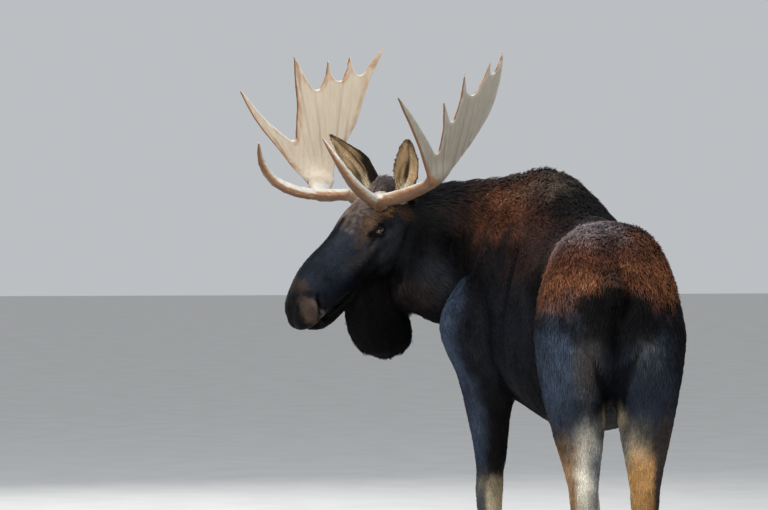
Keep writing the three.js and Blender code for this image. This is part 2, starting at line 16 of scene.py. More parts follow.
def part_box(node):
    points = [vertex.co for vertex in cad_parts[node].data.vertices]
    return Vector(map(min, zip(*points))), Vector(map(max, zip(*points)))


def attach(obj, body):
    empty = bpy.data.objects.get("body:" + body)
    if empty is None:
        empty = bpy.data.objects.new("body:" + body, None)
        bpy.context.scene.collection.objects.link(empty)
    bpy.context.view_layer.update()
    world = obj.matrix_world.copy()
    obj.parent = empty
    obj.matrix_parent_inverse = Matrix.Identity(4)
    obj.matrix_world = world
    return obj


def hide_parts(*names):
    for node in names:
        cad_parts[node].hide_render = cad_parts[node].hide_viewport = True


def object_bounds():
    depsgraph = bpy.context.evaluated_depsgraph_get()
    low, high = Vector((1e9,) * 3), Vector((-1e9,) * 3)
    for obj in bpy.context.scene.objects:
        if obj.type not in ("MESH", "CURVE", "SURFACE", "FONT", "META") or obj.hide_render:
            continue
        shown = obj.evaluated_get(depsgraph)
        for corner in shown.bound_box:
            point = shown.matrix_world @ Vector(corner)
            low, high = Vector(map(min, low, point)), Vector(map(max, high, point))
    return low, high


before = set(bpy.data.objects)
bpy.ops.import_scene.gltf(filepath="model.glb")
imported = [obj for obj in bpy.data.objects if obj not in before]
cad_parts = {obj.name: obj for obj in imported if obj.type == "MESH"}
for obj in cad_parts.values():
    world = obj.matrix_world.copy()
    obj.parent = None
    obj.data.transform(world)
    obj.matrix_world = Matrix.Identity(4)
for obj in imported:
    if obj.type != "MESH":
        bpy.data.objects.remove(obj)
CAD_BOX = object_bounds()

log = logging.getLogger("moose")
Obj = bpy.types.Object
Material = bpy.types.Material
Socket = bpy.types.NodeSocket
Array = np.ndarray
Pair = tuple[float, float]
Triple = tuple[float, float, float]

LEGS = ("fore_left", "fore_right", "hind_left", "hind_right")
UP = np.array([0.0, 0.0, 1.0])
SIDES = {"left": 1, "right": -1}  # sign of the offset to the animal's left
SKIN_SHADE = 0.7  # how much darker the skin is than the hair on it

LATTICE_PRIMES = (73856093, 19349663, 83492791)  # mix the three numbers of a noise's cell into one
SEED_PRIME = 2654435761
STIR_PRIME = 1274126177
SEED_SHIFT = 17.31  # how many cells one noise lies from the next


class Kind(Enum):
    """The part of the body that a spot of skin belongs to."""

    TRUNK = 0
    NECK = 1
    HEAD = 2
    JAW = 3
    BELL = 4
    EAR_LEFT = 5
    EAR_RIGHT = 6
    TAIL = 7
    THIGH = 8
    SHANK = 9


HEAD_KINDS = (Kind.HEAD.value, Kind.JAW.value)
TORSO_KINDS = (Kind.TRUNK.value, Kind.NECK.value)
LEG_KINDS = (Kind.THIGH.value, Kind.SHANK.value)


def flesh_nodes() -> dict[str, Kind]:
    """The CAD nodes that the skin stands for, each with its kind.

    Returns:
        Node name to kind.
    """
    found = {
        "trunk": Kind.TRUNK,
        "neck": Kind.NECK,
        "head": Kind.HEAD,
        "jaw": Kind.JAW,
        "bell": Kind.BELL,
        "ear_left": Kind.EAR_LEFT,
        "ear_right": Kind.EAR_RIGHT,
        "tail": Kind.TAIL,
    }
    for leg in LEGS:
        found[f"leg_{leg}_upper"] = Kind.THIGH
        found[f"leg_{leg}_lower"] = Kind.SHANK
    return found


# ---- numbers over a mesh -----------------------------------------------------------------------------


def ramp(value: Array, low: float, high: float) -> Array:
    """A smooth step from 0 at low to 1 at high, either way round."""
    t = np.clip((value - low) / (high - low), 0.0, 1.0)
    return t * t * (3.0 - 2.0 * t)


def unit(vectors: Array) -> Array:
    """Vectors scaled to length 1."""
    return vectors / np.maximum(np.linalg.norm(vectors, axis=-1, keepdims=True), 1e-9)


def dot(a: Array, b: Array) -> Array:
    """Row by row dot product."""
    return (a * b).sum(-1)


def swirl(points: Array, scale: float, seed: int = 0) -> Array:
    """Smooth value noise between -1 and 1.

    Args:
        points: Places, one a row.
        scale: Size of the noise's cells, in metres.
        seed: Picks another noise.

    Returns:
        One value for each place.
    """
    cell = points / scale + seed * SEED_SHIFT
    base = np.floor(cell).astype(np.int64)
    part = cell - base
    part = part * part * (3.0 - 2.0 * part)
    total = np.zeros(len(points))
    for corner in range(8):
        step = np.array([(corner >> axis) & 1 for axis in range(3)])
        at = base + step
        parts = [at[:, axis] * prime for axis, prime in enumerate(LATTICE_PRIMES)]
        hashed = parts[0] ^ parts[1] ^ parts[2] ^ (seed * SEED_PRIME)
        hashed = (hashed ^ (hashed >> 13)) * STIR_PRIME
        value = ((hashed ^ (hashed >> 16)) & 0xFFFF) / 32767.5 - 1.0
        weight = np.prod(np.where(step == 1, part, 1.0 - part), axis=1)
        total += value * weight
    return total


def mixed(base: Array, other: Array, share: Array) -> Array:
    """Two colours or sets of vectors blended by a share for each row."""
    return base + (other - base) * share[:, None]


def fetched(items: bpy.types.bpy_prop_collection, name: str, width: int, kind: type = float) -> Array:
    """Reads one property of every item in a collection.

    Args:
        items: Vertices, edges, loops or the like.
        name: The property.
        width: How many numbers it has.
        kind: The type of the numbers.

    Returns:
        One row for each item.
    """
    values = np.empty(len(items) * width, dtype=kind)
    items.foreach_get(name, values)
    return values.reshape(-1, width)


class Sheet:
    """The vertices, triangles and edges of a mesh as arrays."""

    def __init__(self, obj: Obj) -> None:
        """Reads a mesh.

        Args:
            obj: A mesh object at the origin.
        """
        mesh = obj.data
        mesh.calc_loop_triangles()
        self.spots = fetched(mesh.vertices, "co", 3)
        self.normals = fetched(mesh.vertices, "normal", 3)
        self.tris = fetched(mesh.loop_triangles, "vertices", 3, np.int64)
        self.edges = fetched(mesh.edges, "vertices", 2, np.int64)

    def diffuse(self, values: Array, rounds: int, share: Array | float = 1.0) -> Array:
        """Evens values out over the surface.

        Args:
            values: One row or number for each vertex.
            rounds: How often each vertex takes its neighbours' mean.
            share: How much of that mean a vertex takes.

        Returns:
            The evened values.
        """
        flat = values.reshape(len(values), -1).astype(float)
        count = len(flat)
        a, b = self.edges.T
        near = np.bincount(a, minlength=count) + np.bincount(b, minlength=count)
        share = np.broadcast_to(np.asarray(share, dtype=float), (count,))[:, None] * 0.5
        for _ in range(rounds):
            for column in range(flat.shape[1]):
                total = np.bincount(a, flat[b, column], count) + np.bincount(b, flat[a, column], count)
                mean = total / np.maximum(near, 1)
                flat[:, column] += share[:, 0] * (mean - flat[:, column])
        return flat.reshape(values.shape)

    def even(self, values: Array, rounds: int, share: Array | float = 1.0) -> Array:
        """Rounds a shape off and gives back what plain evening shrinks.

        Args:
            values: One row or number for each vertex.
            rounds: How often each vertex takes its neighbours' mean.
            share: How much of that mean a vertex takes.

        Returns:
            The evened values.
        """
        smooth = np.zeros_like(values)
        for _ in range(3):
            smooth = smooth + self.diffuse(values - smooth, rounds, share)
        return smooth


# ---- where things are on the animal ------------------------------------------------------------------


@dataclass(frozen=True)
class Spine:
    """The bent middle line of trunk and neck, seen from above, from the rump to the skull."""

    rump: Pair = (-0.406, 0.960)
    headings: tuple[Pair, ...] = (
        (0.0, -9.0),
        (0.30, -9.0),
        (0.55, -4.0),
        (0.80, 5.0),
        (1.05, 16.0),
        (1.33, 24.0),
        (1.50, 36.0),
        (1.76, 76.0),
        (1.98, 112.0),
        (2.10, 114.0),
    )
    step: float = 0.01
    batch: int = 20000  # places looked up at a time

    def trace(self) -> tuple[Array, Array, Array]:
        """The walked line.

        Returns:
            Length along it, place and heading in radians, one of each for each step.
        """
        lengths = np.arange(0.0, self.headings[-1][0], self.step)
        places = [length for length, _ in self.headings]
        turns = np.radians(np.interp(lengths, places, [heading for _, heading in self.headings]))
        strides = np.column_stack([np.sin(turns), -np.cos(turns)]) * self.step
        line = np.array(self.rump) + np.vstack([np.zeros(2), np.cumsum(strides, axis=0)[:-1]])
        return lengths, line, turns

    def locate(self, points: Array) -> tuple[Array, Array, Array, Array]:
        """Finds the nearest place on the line.

        Args:
            points: Places in the row frame.

        Returns:
            Length along the spine, offset to the left, and level unit vectors ahead and left.
        """
        lengths, line, turns = self.trace()
        nearest = np.zeros(len(points), dtype=np.int64)
        for start in range(0, len(points), self.batch):
            part = points[start : start + self.batch, None, :2] - line[None]
            nearest[start : start + self.batch] = (part**2).sum(-1).argmin(1)
        turn = turns[nearest]
        ahead = np.column_stack([np.sin(turn), -np.cos(turn), np.zeros(len(turn))])
        left = np.column_stack([np.cos(turn), np.sin(turn), np.zeros(len(turn))])
        gap = points[:, :2] - line[nearest]
        along = lengths[nearest] + gap[:, 0] * ahead[:, 0] + gap[:, 1] * ahead[:, 1]
        return along, (gap * left[:, :2]).sum(1), ahead, left


class HeadFrame:
    """The head's own directions: x down the bridge of the nose, y to the animal's left, z out of the brow."""

    heading = math.radians(113.0)
    pitch = math.radians(45.0)
    roll = math.radians(-5.5)
    eye_seat = np.array([0.086, 0.0, -0.092])  # middle between the eyes
    eye_shift = np.array([0.006, 0.0, 0.001])

    def __init__(self) -> None:
        """Sets the frame from the places of the two eyes."""
        turn, tip, lean = self.heading, self.pitch, self.roll
        level = np.array(
            [[math.sin(turn), math.cos(turn), 0], [-math.cos(turn), math.sin(turn), 0], [0, 0, 1]]
        )
        rolled = np.array(
            [[1, 0, 0], [0, math.cos(lean), -math.sin(lean)], [0, math.sin(lean), math.cos(lean)]]
        )
        pitched = np.array([[math.cos(tip), 0, math.sin(tip)], [0, 1, 0], [-math.sin(tip), 0, math.cos(tip)]])
        self.upright = level @ rolled
        self.axes = self.upright @ pitched
        eyes = [self.middle(f"eye_{side}") for side in ("left", "right")]
        self.brow = (eyes[0] + eyes[1]) / 2 - self.axes @ self.eye_seat

    @staticmethod
    def middle(node: str) -> Array:
        """The middle of a CAD node's box."""
        low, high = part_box(node)
        return np.array((low + high) / 2)

    def eye(self, side: str) -> Array:
        """The middle of an eyeball, a little ahead of its solid's."""
        return self.middle(f"eye_{side}") + self.axes @ self.eye_shift

    def face(self, points: Array) -> Array:
        """Places in the face's own directions."""
        return (points - self.brow) @ self.axes

    def antler(self, points: Array) -> Array:
        """Places in the antlers' directions: ahead, left and up."""
        return (points - self.brow) @ self.upright

    def placed(self, points: Array) -> Array:
        """Places given in the face's directions, in the row frame."""
        return points @ self.axes.T + self.brow


# ---- mesh work shared by the pieces ------------------------------------------------------------------


def select_only(obj: Obj) -> None:
    """Makes an object the only selected and the active one.

    Args:
        obj: The object.
    """
    bpy.ops.object.select_all(action="DESELECT")
    obj.select_set(True)
    bpy.context.view_layer.objects.active = obj


def copy_of(nodes: list[str], name: str, swell: float) -> Obj:
    """Copies CAD nodes into one mesh of closed shells.

    Args:
        nodes: Names of the CAD nodes.
        name: Name of the new object.
        swell: How far each face is moved outwards, so that neighbours touch.

    Returns:
        The new object. Its face attribute "owner" is the node's place in nodes.
    """
    copies = []
    for place, node in enumerate(nodes):
        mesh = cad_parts[node].data.copy()
        mesh.materials.clear()
        owner = mesh.attributes.new("owner", "INT", "FACE")
        owner.data.foreach_set("value", np.full(len(mesh.polygons), place, dtype=np.int32))
        copy = bpy.data.objects.new(f"{name}_{place}", mesh)
        bpy.context.collection.objects.link(copy)
        copies.append(copy)
    bpy.ops.object.select_all(action="DESELECT")
    for copy in copies:
        copy.select_set(True)
    bpy.context.view_layer.objects.active = copies[0]
    if len(copies) > 1:
        bpy.ops.object.join()
    joined = bpy.context.view_layer.objects.active
    joined.name = name
    bpy.ops.object.mode_set(mode="EDIT")
    bpy.ops.mesh.select_all(action="SELECT")
    bpy.ops.mesh.remove_doubles(threshold=1e-5)
    bpy.ops.mesh.normals_make_consistent(inside=False)
    bpy.ops.transform.shrink_fatten(value=swell)
    bpy.ops.object.mode_set(mode="OBJECT")
    return joined


def remeshed(obj: Obj, voxel: float) -> None:
    """Fuses the shells of a mesh into one skin of small even faces.

    Args:
        obj: A mesh object.
        voxel: Size of the new faces.
    """
    select_only(obj)
    modifier = obj.modifiers.new("fuse", "REMESH")
    modifier.mode = "VOXEL"
    modifier.voxel_size = voxel
    modifier.adaptivity = 0.0
    bpy.ops.object.modifier_apply(modifier=modifier.name)


def write_spots(obj: Obj, spots: Array) -> None:
    """Moves a mesh's vertices."""
    obj.data.vertices.foreach_set("co", spots.ravel())
    obj.data.update()


def write_colours(mesh: bpy.types.Mesh, name: str, colours: Array) -> None:
    """Stores one colour for each vertex as an attribute.

    Args:
        mesh: The mesh.
        name: Name of the attribute.
        colours: Linear red, green and blue of each vertex.
    """
    rows = np.ones((len(colours), 4), dtype=np.float32)
    rows[:, :3] = colours
    mesh.color_attributes.new(name, "FLOAT_COLOR", "POINT").data.foreach_set("color", rows.ravel())


def owners_at(joined: Obj, points: Array) -> Array:
    """Which copied node's surface lies nearest to each place.

    Args:
        joined: The object that copy_of made.
        points: Places to look at.

    Returns:
        The value of "owner" for each place.
    """
    mesh = joined.data
    owner = fetched(mesh.attributes["owner"].data, "value", 1, np.int32)[:, 0]
    tree = BVHTree.FromPolygons([v.co for v in mesh.vertices], [tuple(p.vertices) for p in mesh.polygons])
    return np.array([owner[tree.find_nearest(Vector(point))[2]] for point in points])


def subdivide_near(obj: Obj, chosen: Array) -> None:
    """Halves the faces whose vertices are all chosen.

    Args:
        obj: A mesh object.
        chosen: Which of its vertices.
    """
    mesh = obj.data
    select_only(obj)
    bpy.ops.object.mode_set(mode="EDIT")
    bpy.ops.mesh.select_mode(type="FACE")
    bpy.ops.mesh.select_all(action="DESELECT")
    bpy.ops.object.mode_set(mode="OBJECT")
    flags = [bool(chosen[list(p.vertices)].all()) for p in mesh.polygons]
    mesh.polygons.foreach_set("select", flags)
    bpy.ops.object.mode_set(mode="EDIT")
    bpy.ops.mesh.subdivide(number_cuts=1, smoothness=0.0)
    bpy.ops.object.mode_set(mode="OBJECT")


# ---- sculpting ---------------------------------------------------------------------------------------


@dataclass(frozen=True)
class Swelling:
    """A soft bump, or a hollow where its rise is negative."""

    name: str
    at: Triple
    size: Triple
    rise: float
    heading: float = 0.0

    def weight(self, points: Array) -> Array:
        """How strongly the bump lifts each place, from 0 to 1.

        Args:
            points: Places, one a row.

        Returns:
            One share for each place.
        """
        turn = math.radians(self.heading)
        off = points - np.array(self.at)
        across = off[:, 0] * math.cos(turn) + off[:, 1] * math.sin(turn)
        along = -off[:, 0] * math.sin(turn) + off[:, 1] * math.cos(turn)
        spread = np.column_stack([across, along, off[:, 2]]) / np.array(self.size)
        return np.exp(-(spread**2).sum(1))


@dataclass(frozen=True)
class Furrow:
    """A crease along a line of places, or a ridge where its depth is negative."""

    name: str
    path: tuple[Triple, ...]
    width: float
    depth: float

    def weight(self, points: Array, ease: Triple = (1.0, 1.0, 1.0)) -> Array:
        """How strongly the crease sinks each place, from 0 to 1.

        Args:
            points: Places, one a row.
            ease: How distances count along x, y and z.

        Returns:
            One share for each place.
        """
        nearest = np.full(len(points), np.inf)
        knots = np.array(self.path)
        for start, end in zip(knots[:-1], knots[1:]):
            run = end - start
            share = np.clip((points - start) @ run / (run @ run), 0.0, 1.0)
            gap = (points - (start + share[:, None] * run)) * np.array(ease)
            nearest = np.minimum(nearest, (gap**2).sum(1))
        return np.exp(-nearest / self.width**2)


def sculpted(
    points: Array,
    swellings: tuple[Swelling, ...],
    furrows: tuple[Furrow, ...],
    ease: Triple = (1.0, 1.0, 1.0),
) -> Array:
    """How far swellings and furrows together raise each place.

    Args:
        points: Places, one a row.
        swellings: The bumps and hollows.
        furrows: The creases and ridges.
        ease: How distances to a furrow count along x, y and z.

    Returns:
        The rise in metres, negative where the surface sinks.
    """
    rise = np.zeros(len(points))
    for swelling in swellings:
        rise += swelling.rise * swelling.weight(points)
    for furrow in furrows:
        rise -= furrow.depth * furrow.weight(points, ease)
    return rise


BODY_SWELLINGS = (
    Swelling("left haunch", (-0.20, 0.72, 1.24), (0.10, 0.13, 0.17), 0.016, -9),
    Swelling("left buttock", (-0.29, 0.93, 1.14), (0.06, 0.07, 0.20), 0.022, -9),
    Swelling("right buttock", (-0.56, 0.96, 1.14), (0.06, 0.07, 0.20), 0.022, -9),
    Swelling("right haunch", (-0.70, 0.76, 1.20), (0.10, 0.13, 0.17), 0.016, -9),
    Swelling("left hip bone", (-0.27, 0.42, 1.55), (0.07, 0.12, 0.06), 0.019, -9),
    Swelling("right hip bone", (-0.62, 0.48, 1.55), (0.07, 0.12, 0.06), 0.019, -9),
    Swelling("left pin bone", (-0.36, 0.93, 1.41), (0.06, 0.05, 0.05), 0.014, -9),
    Swelling("right pin bone", (-0.52, 0.95, 1.41), (0.06, 0.05, 0.05), 0.014, -9),
    Swelling("left loin hollow", (-0.24, 0.30, 1.36), (0.09, 0.13, 0.12), -0.022, -4),
    Swelling("left flank hollow", (-0.17, 0.42, 1.10), (0.08, 0.08, 0.14), -0.019, -4),
    Swelling("left shoulder blade", (-0.16, -0.20, 1.44), (0.09, 0.11, 0.20), 0.019, 20),
    Swelling("left shoulder point", (-0.04, -0.34, 1.20), (0.07, 0.09, 0.12), 0.024, 24),
    Swelling("left upper arm", (-0.08, -0.16, 1.10), (0.07, 0.10, 0.10), 0.019, 20),
    Swelling("left elbow", (-0.10, -0.08, 0.97), (0.05, 0.06, 0.06), 0.016, 20),
    Swelling("right shoulder point", (-0.62, -0.52, 1.16), (0.08, 0.09, 0.14), 0.016, 24),
    Swelling("rib barrel", (-0.13, 0.10, 1.20), (0.10, 0.20, 0.20), 0.011, 5),
)
BODY_FURROWS = (
    Furrow("croup furrow", ((-0.43, 0.60, 1.65), (-0.43, 0.83, 1.56), (-0.43, 0.93, 1.47)), 0.035, 0.016),
    Furrow("rear midline", ((-0.42, 0.97, 1.30), (-0.425, 0.96, 1.10), (-0.43, 0.88, 0.96)), 0.026, 0.038),
    Furrow("tail cleft left", ((-0.35, 0.93, 1.40), (-0.37, 0.96, 1.30)), 0.025, 0.016),
    Furrow("tail cleft right", ((-0.47, 0.94, 1.40), (-0.45, 0.97, 1.30)), 0.025, 0.016),
    Furrow("haunch front edge", ((-0.24, 0.42, 1.42), (-0.17, 0.46, 1.20), (-0.17, 0.52, 0.98)), 0.035, 0.019),
    Furrow("haunch seam", ((-0.22, 0.86, 1.30), (-0.19, 0.86, 1.12), (-0.22, 0.90, 0.95)), 0.028, 0.014),
    Furrow("stifle fold", ((-0.15, 0.50, 0.98), (-0.18, 0.44, 0.92)), 0.03, -0.026),
    Furrow("behind the shoulder", ((-0.20, 0.00, 1.52), (-0.13, 0.02, 1.25), (-0.13, 0.02, 1.02)), 0.04, 0.022),
    Furrow("blade ridge", ((-0.24, -0.16, 1.72), (-0.14, -0.24, 1.48), (-0.07, -0.31, 1.28)), 0.03, -0.013),
    Furrow("arm seam", ((-0.05, -0.26, 1.30), (-0.08, -0.18, 1.16), (-0.10, -0.10, 1.04)), 0.022, 0.011),
    Furrow("elbow crease", ((-0.03, -0.24, 1.00), (-0.08, -0.15, 0.95), (-0.13, -0.07, 0.98)), 0.02, 0.013),
    Furrow("neck base fold", ((-0.02, -0.46, 1.56), (-0.01, -0.43, 1.36), (0.00, -0.50, 1.18)), 0.035, 0.032),
    Furrow("second neck fold", ((-0.07, -0.44, 1.60), (-0.06, -0.38, 1.42)), 0.028, 0.016),
    Furrow("rib one", ((-0.12, 0.10, 1.40), (-0.11, 0.14, 1.10)), 0.022, -0.006),
    Furrow("rib two", ((-0.13, 0.18, 1.40), (-0.12, 0.22, 1.10)), 0.022, -0.006),
    Furrow("rib three", ((-0.15, 0.26, 1.38), (-0.13, 0.30, 1.10)), 0.022, -0.006),
)

# Sculpting of the head, in the face's own directions, given for the left side and mirrored to the right.
FACE_SWELLINGS = (
    Swelling("brow ridge", (0.078, 0.088, -0.058), (0.045, 0.022, 0.020), 0.010),
    Swelling("eye socket", (0.090, 0.108, -0.095), (0.050, 0.030, 0.036), -0.004),
    Swelling("cheek muscle", (0.045, 0.110, -0.190), (0.080, 0.040, 0.075), 0.010),
    Swelling("cheek bone", (0.135, 0.098, -0.130), (0.060, 0.025, 0.018), 0.006),
    Swelling("temple", (0.020, 0.100, -0.085), (0.030, 0.030, 0.030), -0.006),
    Swelling("side of the nose", (0.330, 0.072, -0.090), (0.090, 0.030, 0.045), -0.006),
    Swelling("upper lip", (0.520, 0.080, -0.170), (0.055, 0.040, 0.030), 0.008),
    Swelling("nose wing", (0.540, 0.080, -0.095), (0.035, 0.030, 0.040), 0.008),
    Swelling("jaw hollow", (0.230, 0.060, -0.225), (0.070, 0.035, 0.030), -0.008),
    Swelling("nose dip", (0.230, 0.000, 0.020), (0.070, 0.060, 0.030), -0.006),
    Swelling("nose hump", (0.400, 0.000, 0.010), (0.090, 0.060, 0.030), 0.004),
    Swelling("forehead", (0.030, 0.030, 0.020), (0.050, 0.040, 0.040), 0.006),
    Swelling("lip front", (0.600, 0.010, -0.150), (0.035, 0.050, 0.032), 0.014),
    Swelling("nose front", (0.570, 0.010, -0.068), (0.032, 0.055, 0.035), -0.011),
)
FACE_EASE = (1.0, 0.4, 1.0)
FACE_FURROWS = (
    Furrow("tear line", ((0.112, 0.106, -0.096), (0.135, 0.100, -0.104), (0.165, 0.094, -0.112)), 0.009, 0.006),
    Furrow("nostril", ((0.474, 0.084, -0.090), (0.489, 0.088, -0.108), (0.512, 0.088, -0.136)), 0.0085, 0.020),
    Furrow("nostril wing", ((0.496, 0.086, -0.082), (0.514, 0.090, -0.104), (0.530, 0.088, -0.130)), 0.01, -0.006),
    Furrow("nostril back", ((0.455, 0.082, -0.100), (0.470, 0.086, -0.124), (0.496, 0.084, -0.150)), 0.01, -0.004),
    Furrow("lip line", ((0.575, 0.020, -0.192), (0.508, 0.045, -0.190), (0.422, 0.036, -0.202)), 0.008, 0.009),
    Furrow("mouth corner", ((0.422, 0.036, -0.202), (0.349, 0.042, -0.216), (0.300, 0.048, -0.214)), 0.010, 0.010),
    Furrow("lip fold", ((0.527, 0.088, -0.146), (0.524, 0.070, -0.176)), 0.012, 0.006),
    Furrow("lower lip", ((0.545, 0.030, -0.210), (0.480, 0.036, -0.214), (0.420, 0.034, -0.222)), 0.012, -0.005),
    Furrow("cheek line", ((0.160, 0.094, -0.165), (0.240, 0.080, -0.175), (0.330, 0.072, -0.175)), 0.018, 0.005),
    Furrow("jaw line", ((-0.040, 0.100, -0.240), (0.060, 0.080, -0.290), (0.180, 0.060, -0.280)), 0.020, -0.004),
    Furrow("nose groove", ((0.575, 0.000, -0.060), (0.600, 0.000, -0.100), (0.600, 0.000, -0.150)), 0.008, 0.005),
)


# ---- markings ----------------------------------------------------------------------------------------


@dataclass(frozen=True)
class Marking:
    """A soft-edged patch of another colour.

    Its size is half its extent along x, y and z, turned by heading about the vertical. Edge is the share of the
    size over which it fades, and ragged how far noise frays that edge.
    """

    name: str
    at: Triple
    size: Triple
    colour: Triple
    strength: float = 1.0
    edge: float = 0.5
    ragged: float = 0.25
    heading: float = 0.0
    mottle: float = 0.0  # how far finer noise thins it out
    blotch: float = 0.012

    def mask(self, points: Array) -> Array:
        """How much of the marking's colour each place takes.

        Args:
            points: Places, one a row.

        Returns:
            One share for each place.
        """
        turn = math.radians(self.heading)
        off = points - np.array(self.at)
        across = off[:, 0] * math.cos(turn) + off[:, 1] * math.sin(turn)
        along = -off[:, 0] * math.sin(turn) + off[:, 1] * math.cos(turn)
        reach = np.sqrt(((np.column_stack([across, along, off[:, 2]]) / np.array(self.size)) ** 2).sum(1))
        grain = min(self.size)
        fray = swirl(points, grain * 0.5, 3) + 0.6 * swirl(points, grain * 0.22, 5)
        thin = 1.0 - self.mottle * ramp(swirl(points, self.blotch, 15), -0.15, 0.45)
        outer, inner = 1.0 + self.edge / 2, 1.0 - self.edge / 2
        return self.strength * thin * ramp(reach + self.ragged * fray, outer, inner)


BLACK = (0.0035, 0.0032, 0.0034)
# painted sheen: the bluish grey of sky light reflected off sleek black hair
SHEEN_SLATE = (0.015, 0.019, 0.028)
# painted sheen: a stronger bluish grey where sky light glances off sleek black hair
SHEEN_SMOKE = (0.036, 0.048, 0.071)
UMBER = (0.018, 0.009, 0.006)
RUST = (0.058, 0.0205, 0.0105)
EMBER = (0.135, 0.052, 0.022)
# partly grizzled hair tips, partly painted sheen
GRIZZLE_AND_SHEEN = (0.165, 0.130, 0.130)
DUN = (0.052, 0.045, 0.038)
ASH = (0.32, 0.255, 0.160)
CREST = (0.075, 0.052, 0.036)
CHESTNUT = (0.026, 0.012, 0.009)
FLECK = (0.12, 0.12, 0.11)
EARTH = (0.110, 0.066, 0.046)
FAWN = (0.20, 0.145, 0.115)
GINGER = (0.28, 0.14, 0.06)
SOOT = (0.012, 0.009, 0.008)
STREAK = (0.075, 0.062, 0.056)
LIP_GREY = (0.110, 0.098, 0.088)
EAR_TAN = (0.46, 0.30, 0.155)
EAR_DARK = (0.026, 0.017, 0.012)

BODY_MARKINGS = (
    # painted sheen, faint, over the flank
    Marking("painted flank slate sheen", (-0.12, 0.05, 1.20), (0.14, 0.40, 0.24), SHEEN_SLATE, 0.15, 1.2, 0.3),
    Marking("hump brown", (-0.25, -0.22, 1.70), (0.17, 0.34, 0.20), UMBER, 1.0, 1.1, 0.3, 20),
    Marking("hump rust", (-0.22, -0.19, 1.71), (0.12, 0.21, 0.11), RUST, 0.95, 1.1, 0.5, 20, 0.3),
    Marking("hump ember", (-0.19, -0.26, 1.76), (0.08, 0.15, 0.07), EMBER, 0.6, 1.1, 0.6, 20, 0.5),
    Marking("hump rust behind", (-0.32, 0.04, 1.62), (0.12, 0.14, 0.08), RUST, 0.25, 1.2, 0.5, 8, 0.3),
    Marking("right hump brown", (-0.56, -0.22, 1.62), (0.15, 0.34, 0.16), UMBER, 0.6, 0.8, 0.3, 20),
    Marking("flank brown", (-0.24, 0.08, 1.56), (0.10, 0.15, 0.16), CHESTNUT, 0.6, 1.4, 0.3, 8, 0.4),
    Marking("hump back", (-0.43, 0.03, 1.75), (0.13, 0.20, 0.13), BLACK, 0.8, 1.3, 0.4, 8),
    Marking("hump crest", (-0.33, -0.10, 1.79), (0.10, 0.13, 0.06), CREST, 0.55, 1.2, 0.6, 20, 0.5),
    Marking("rump brown", (-0.43, 0.62, 1.50), (0.34, 0.42, 0.22), UMBER, 1.0, 0.35, 0.12, -9),
    Marking("left rump rust", (-0.27, 0.66, 1.46), (0.20, 0.34, 0.16), RUST, 1.0, 0.4, 0.22, -9, 0.45),
    Marking("right rump rust", (-0.60, 0.74, 1.46), (0.18, 0.30, 0.15), RUST, 0.9, 0.4, 0.22, -9, 0.45),
    Marking("rump ember", (-0.31, 0.80, 1.39), (0.16, 0.20, 0.08), EMBER, 0.7, 0.9, 0.5, -9, 0.5),
    Marking("right rump ember", (-0.59, 0.84, 1.40), (0.12, 0.18, 0.08), EMBER, 0.7, 0.9, 0.5, -9, 0.5),
    # partly grizzled hair tips, partly painted sheen where the croup faces up
    Marking("croup grizzle and painted sheen", (-0.34, 0.56, 1.63), (0.17, 0.24, 0.09), GRIZZLE_AND_SHEEN, 0.72, 1.3, 0.35, -9, 0.4),
    # painted sheen on the shoulder, arm and fore leg, on their sides that face the light
    Marking("painted shoulder smoke sheen", (0.01, -0.40, 1.27), (0.08, 0.13, 0.17), SHEEN_SMOKE, 0.85, 1.3, 0.2, 24),
    Marking("painted arm smoke sheen", (-0.04, -0.30, 1.05), (0.05, 0.07, 0.12), SHEEN_SMOKE, 0.6, 1.4, 0.2, 20),
    Marking("fore leg smoke", (-0.09, -0.25, 0.78), (0.05, 0.08, 0.22), SHEEN_SMOKE, 0.7, 1.4, 0.2),
    Marking("behind the elbow", (-0.17, 0.00, 0.95), (0.06, 0.09, 0.06), UMBER, 0.3, 1.0, 0.3, 20),
    # painted sheen on the left haunch
    Marking("painted left haunch smoke sheen", (-0.24, 0.85, 1.10), (0.11, 0.15, 0.22), SHEEN_SMOKE, 0.75, 1.4, 0.2, -9),
    Marking("left buttock dun", (-0.31, 0.94, 1.12), (0.05, 0.08, 0.13), DUN, 0.8, 1.4, 0.2, -9),
    # painted sheen on the right haunch
    Marking("painted right haunch slate sheen", (-0.55, 0.95, 1.08), (0.14, 0.12, 0.25), SHEEN_SLATE, 0.85, 1.2, 0.2, -9),
    Marking("right haunch fleck", (-0.53, 0.97, 1.18), (0.05, 0.05, 0.06), FLECK, 0.35, 1.4, 0.7, -9, 1.0, 0.006),
    Marking("neck side slate", (0.06, -0.50, 1.42), (0.08, 0.08, 0.10), (0.018, 0.020, 0.024), 0.6, 1.3, 0.3, 90),
    Marking("neck underside brown", (0.10, -0.52, 1.34), (0.10, 0.10, 0.08), (0.024, 0.017, 0.014), 0.7, 1.3, 0.3),
    Marking("groin cream", (-0.43, 0.86, 0.90), (0.05, 0.09, 0.05), ASH, 0.5, 1.2, 0.2, -9),
    Marking("belly dun", (-0.40, 0.35, 0.82), (0.16, 0.40, 0.06), DUN, 0.5, 1.0, 0.2),
    # painted shadow: black under the overhang of the rump's cap, round the tail and below it
    Marking("painted tail arch shadow", (-0.42, 0.99, 1.335), (0.19, 0.14, 0.085), BLACK, 1.0, 0.6, 0.12, -9),
    Marking("painted shadow below the rump", (-0.44, 0.95, 1.25), (0.24, 0.16, 0.060), BLACK, 0.85, 1.2, 0.2, -9),
)


@dataclass(frozen=True)
class LegMarking:
    """Pale hair on one side of a leg, from a height down; on the left fore leg, one is a painted highlight
    instead.

    The side is a heading, in degrees from -Y towards +X. The hair is palest where the leg's surface faces within
    the cosine spread + soft of it, and ends at the cosine spread.
    """

    leg: str
    top: float
    fade: float
    facing: float
    spread: float
    soft: float
    colour: Triple


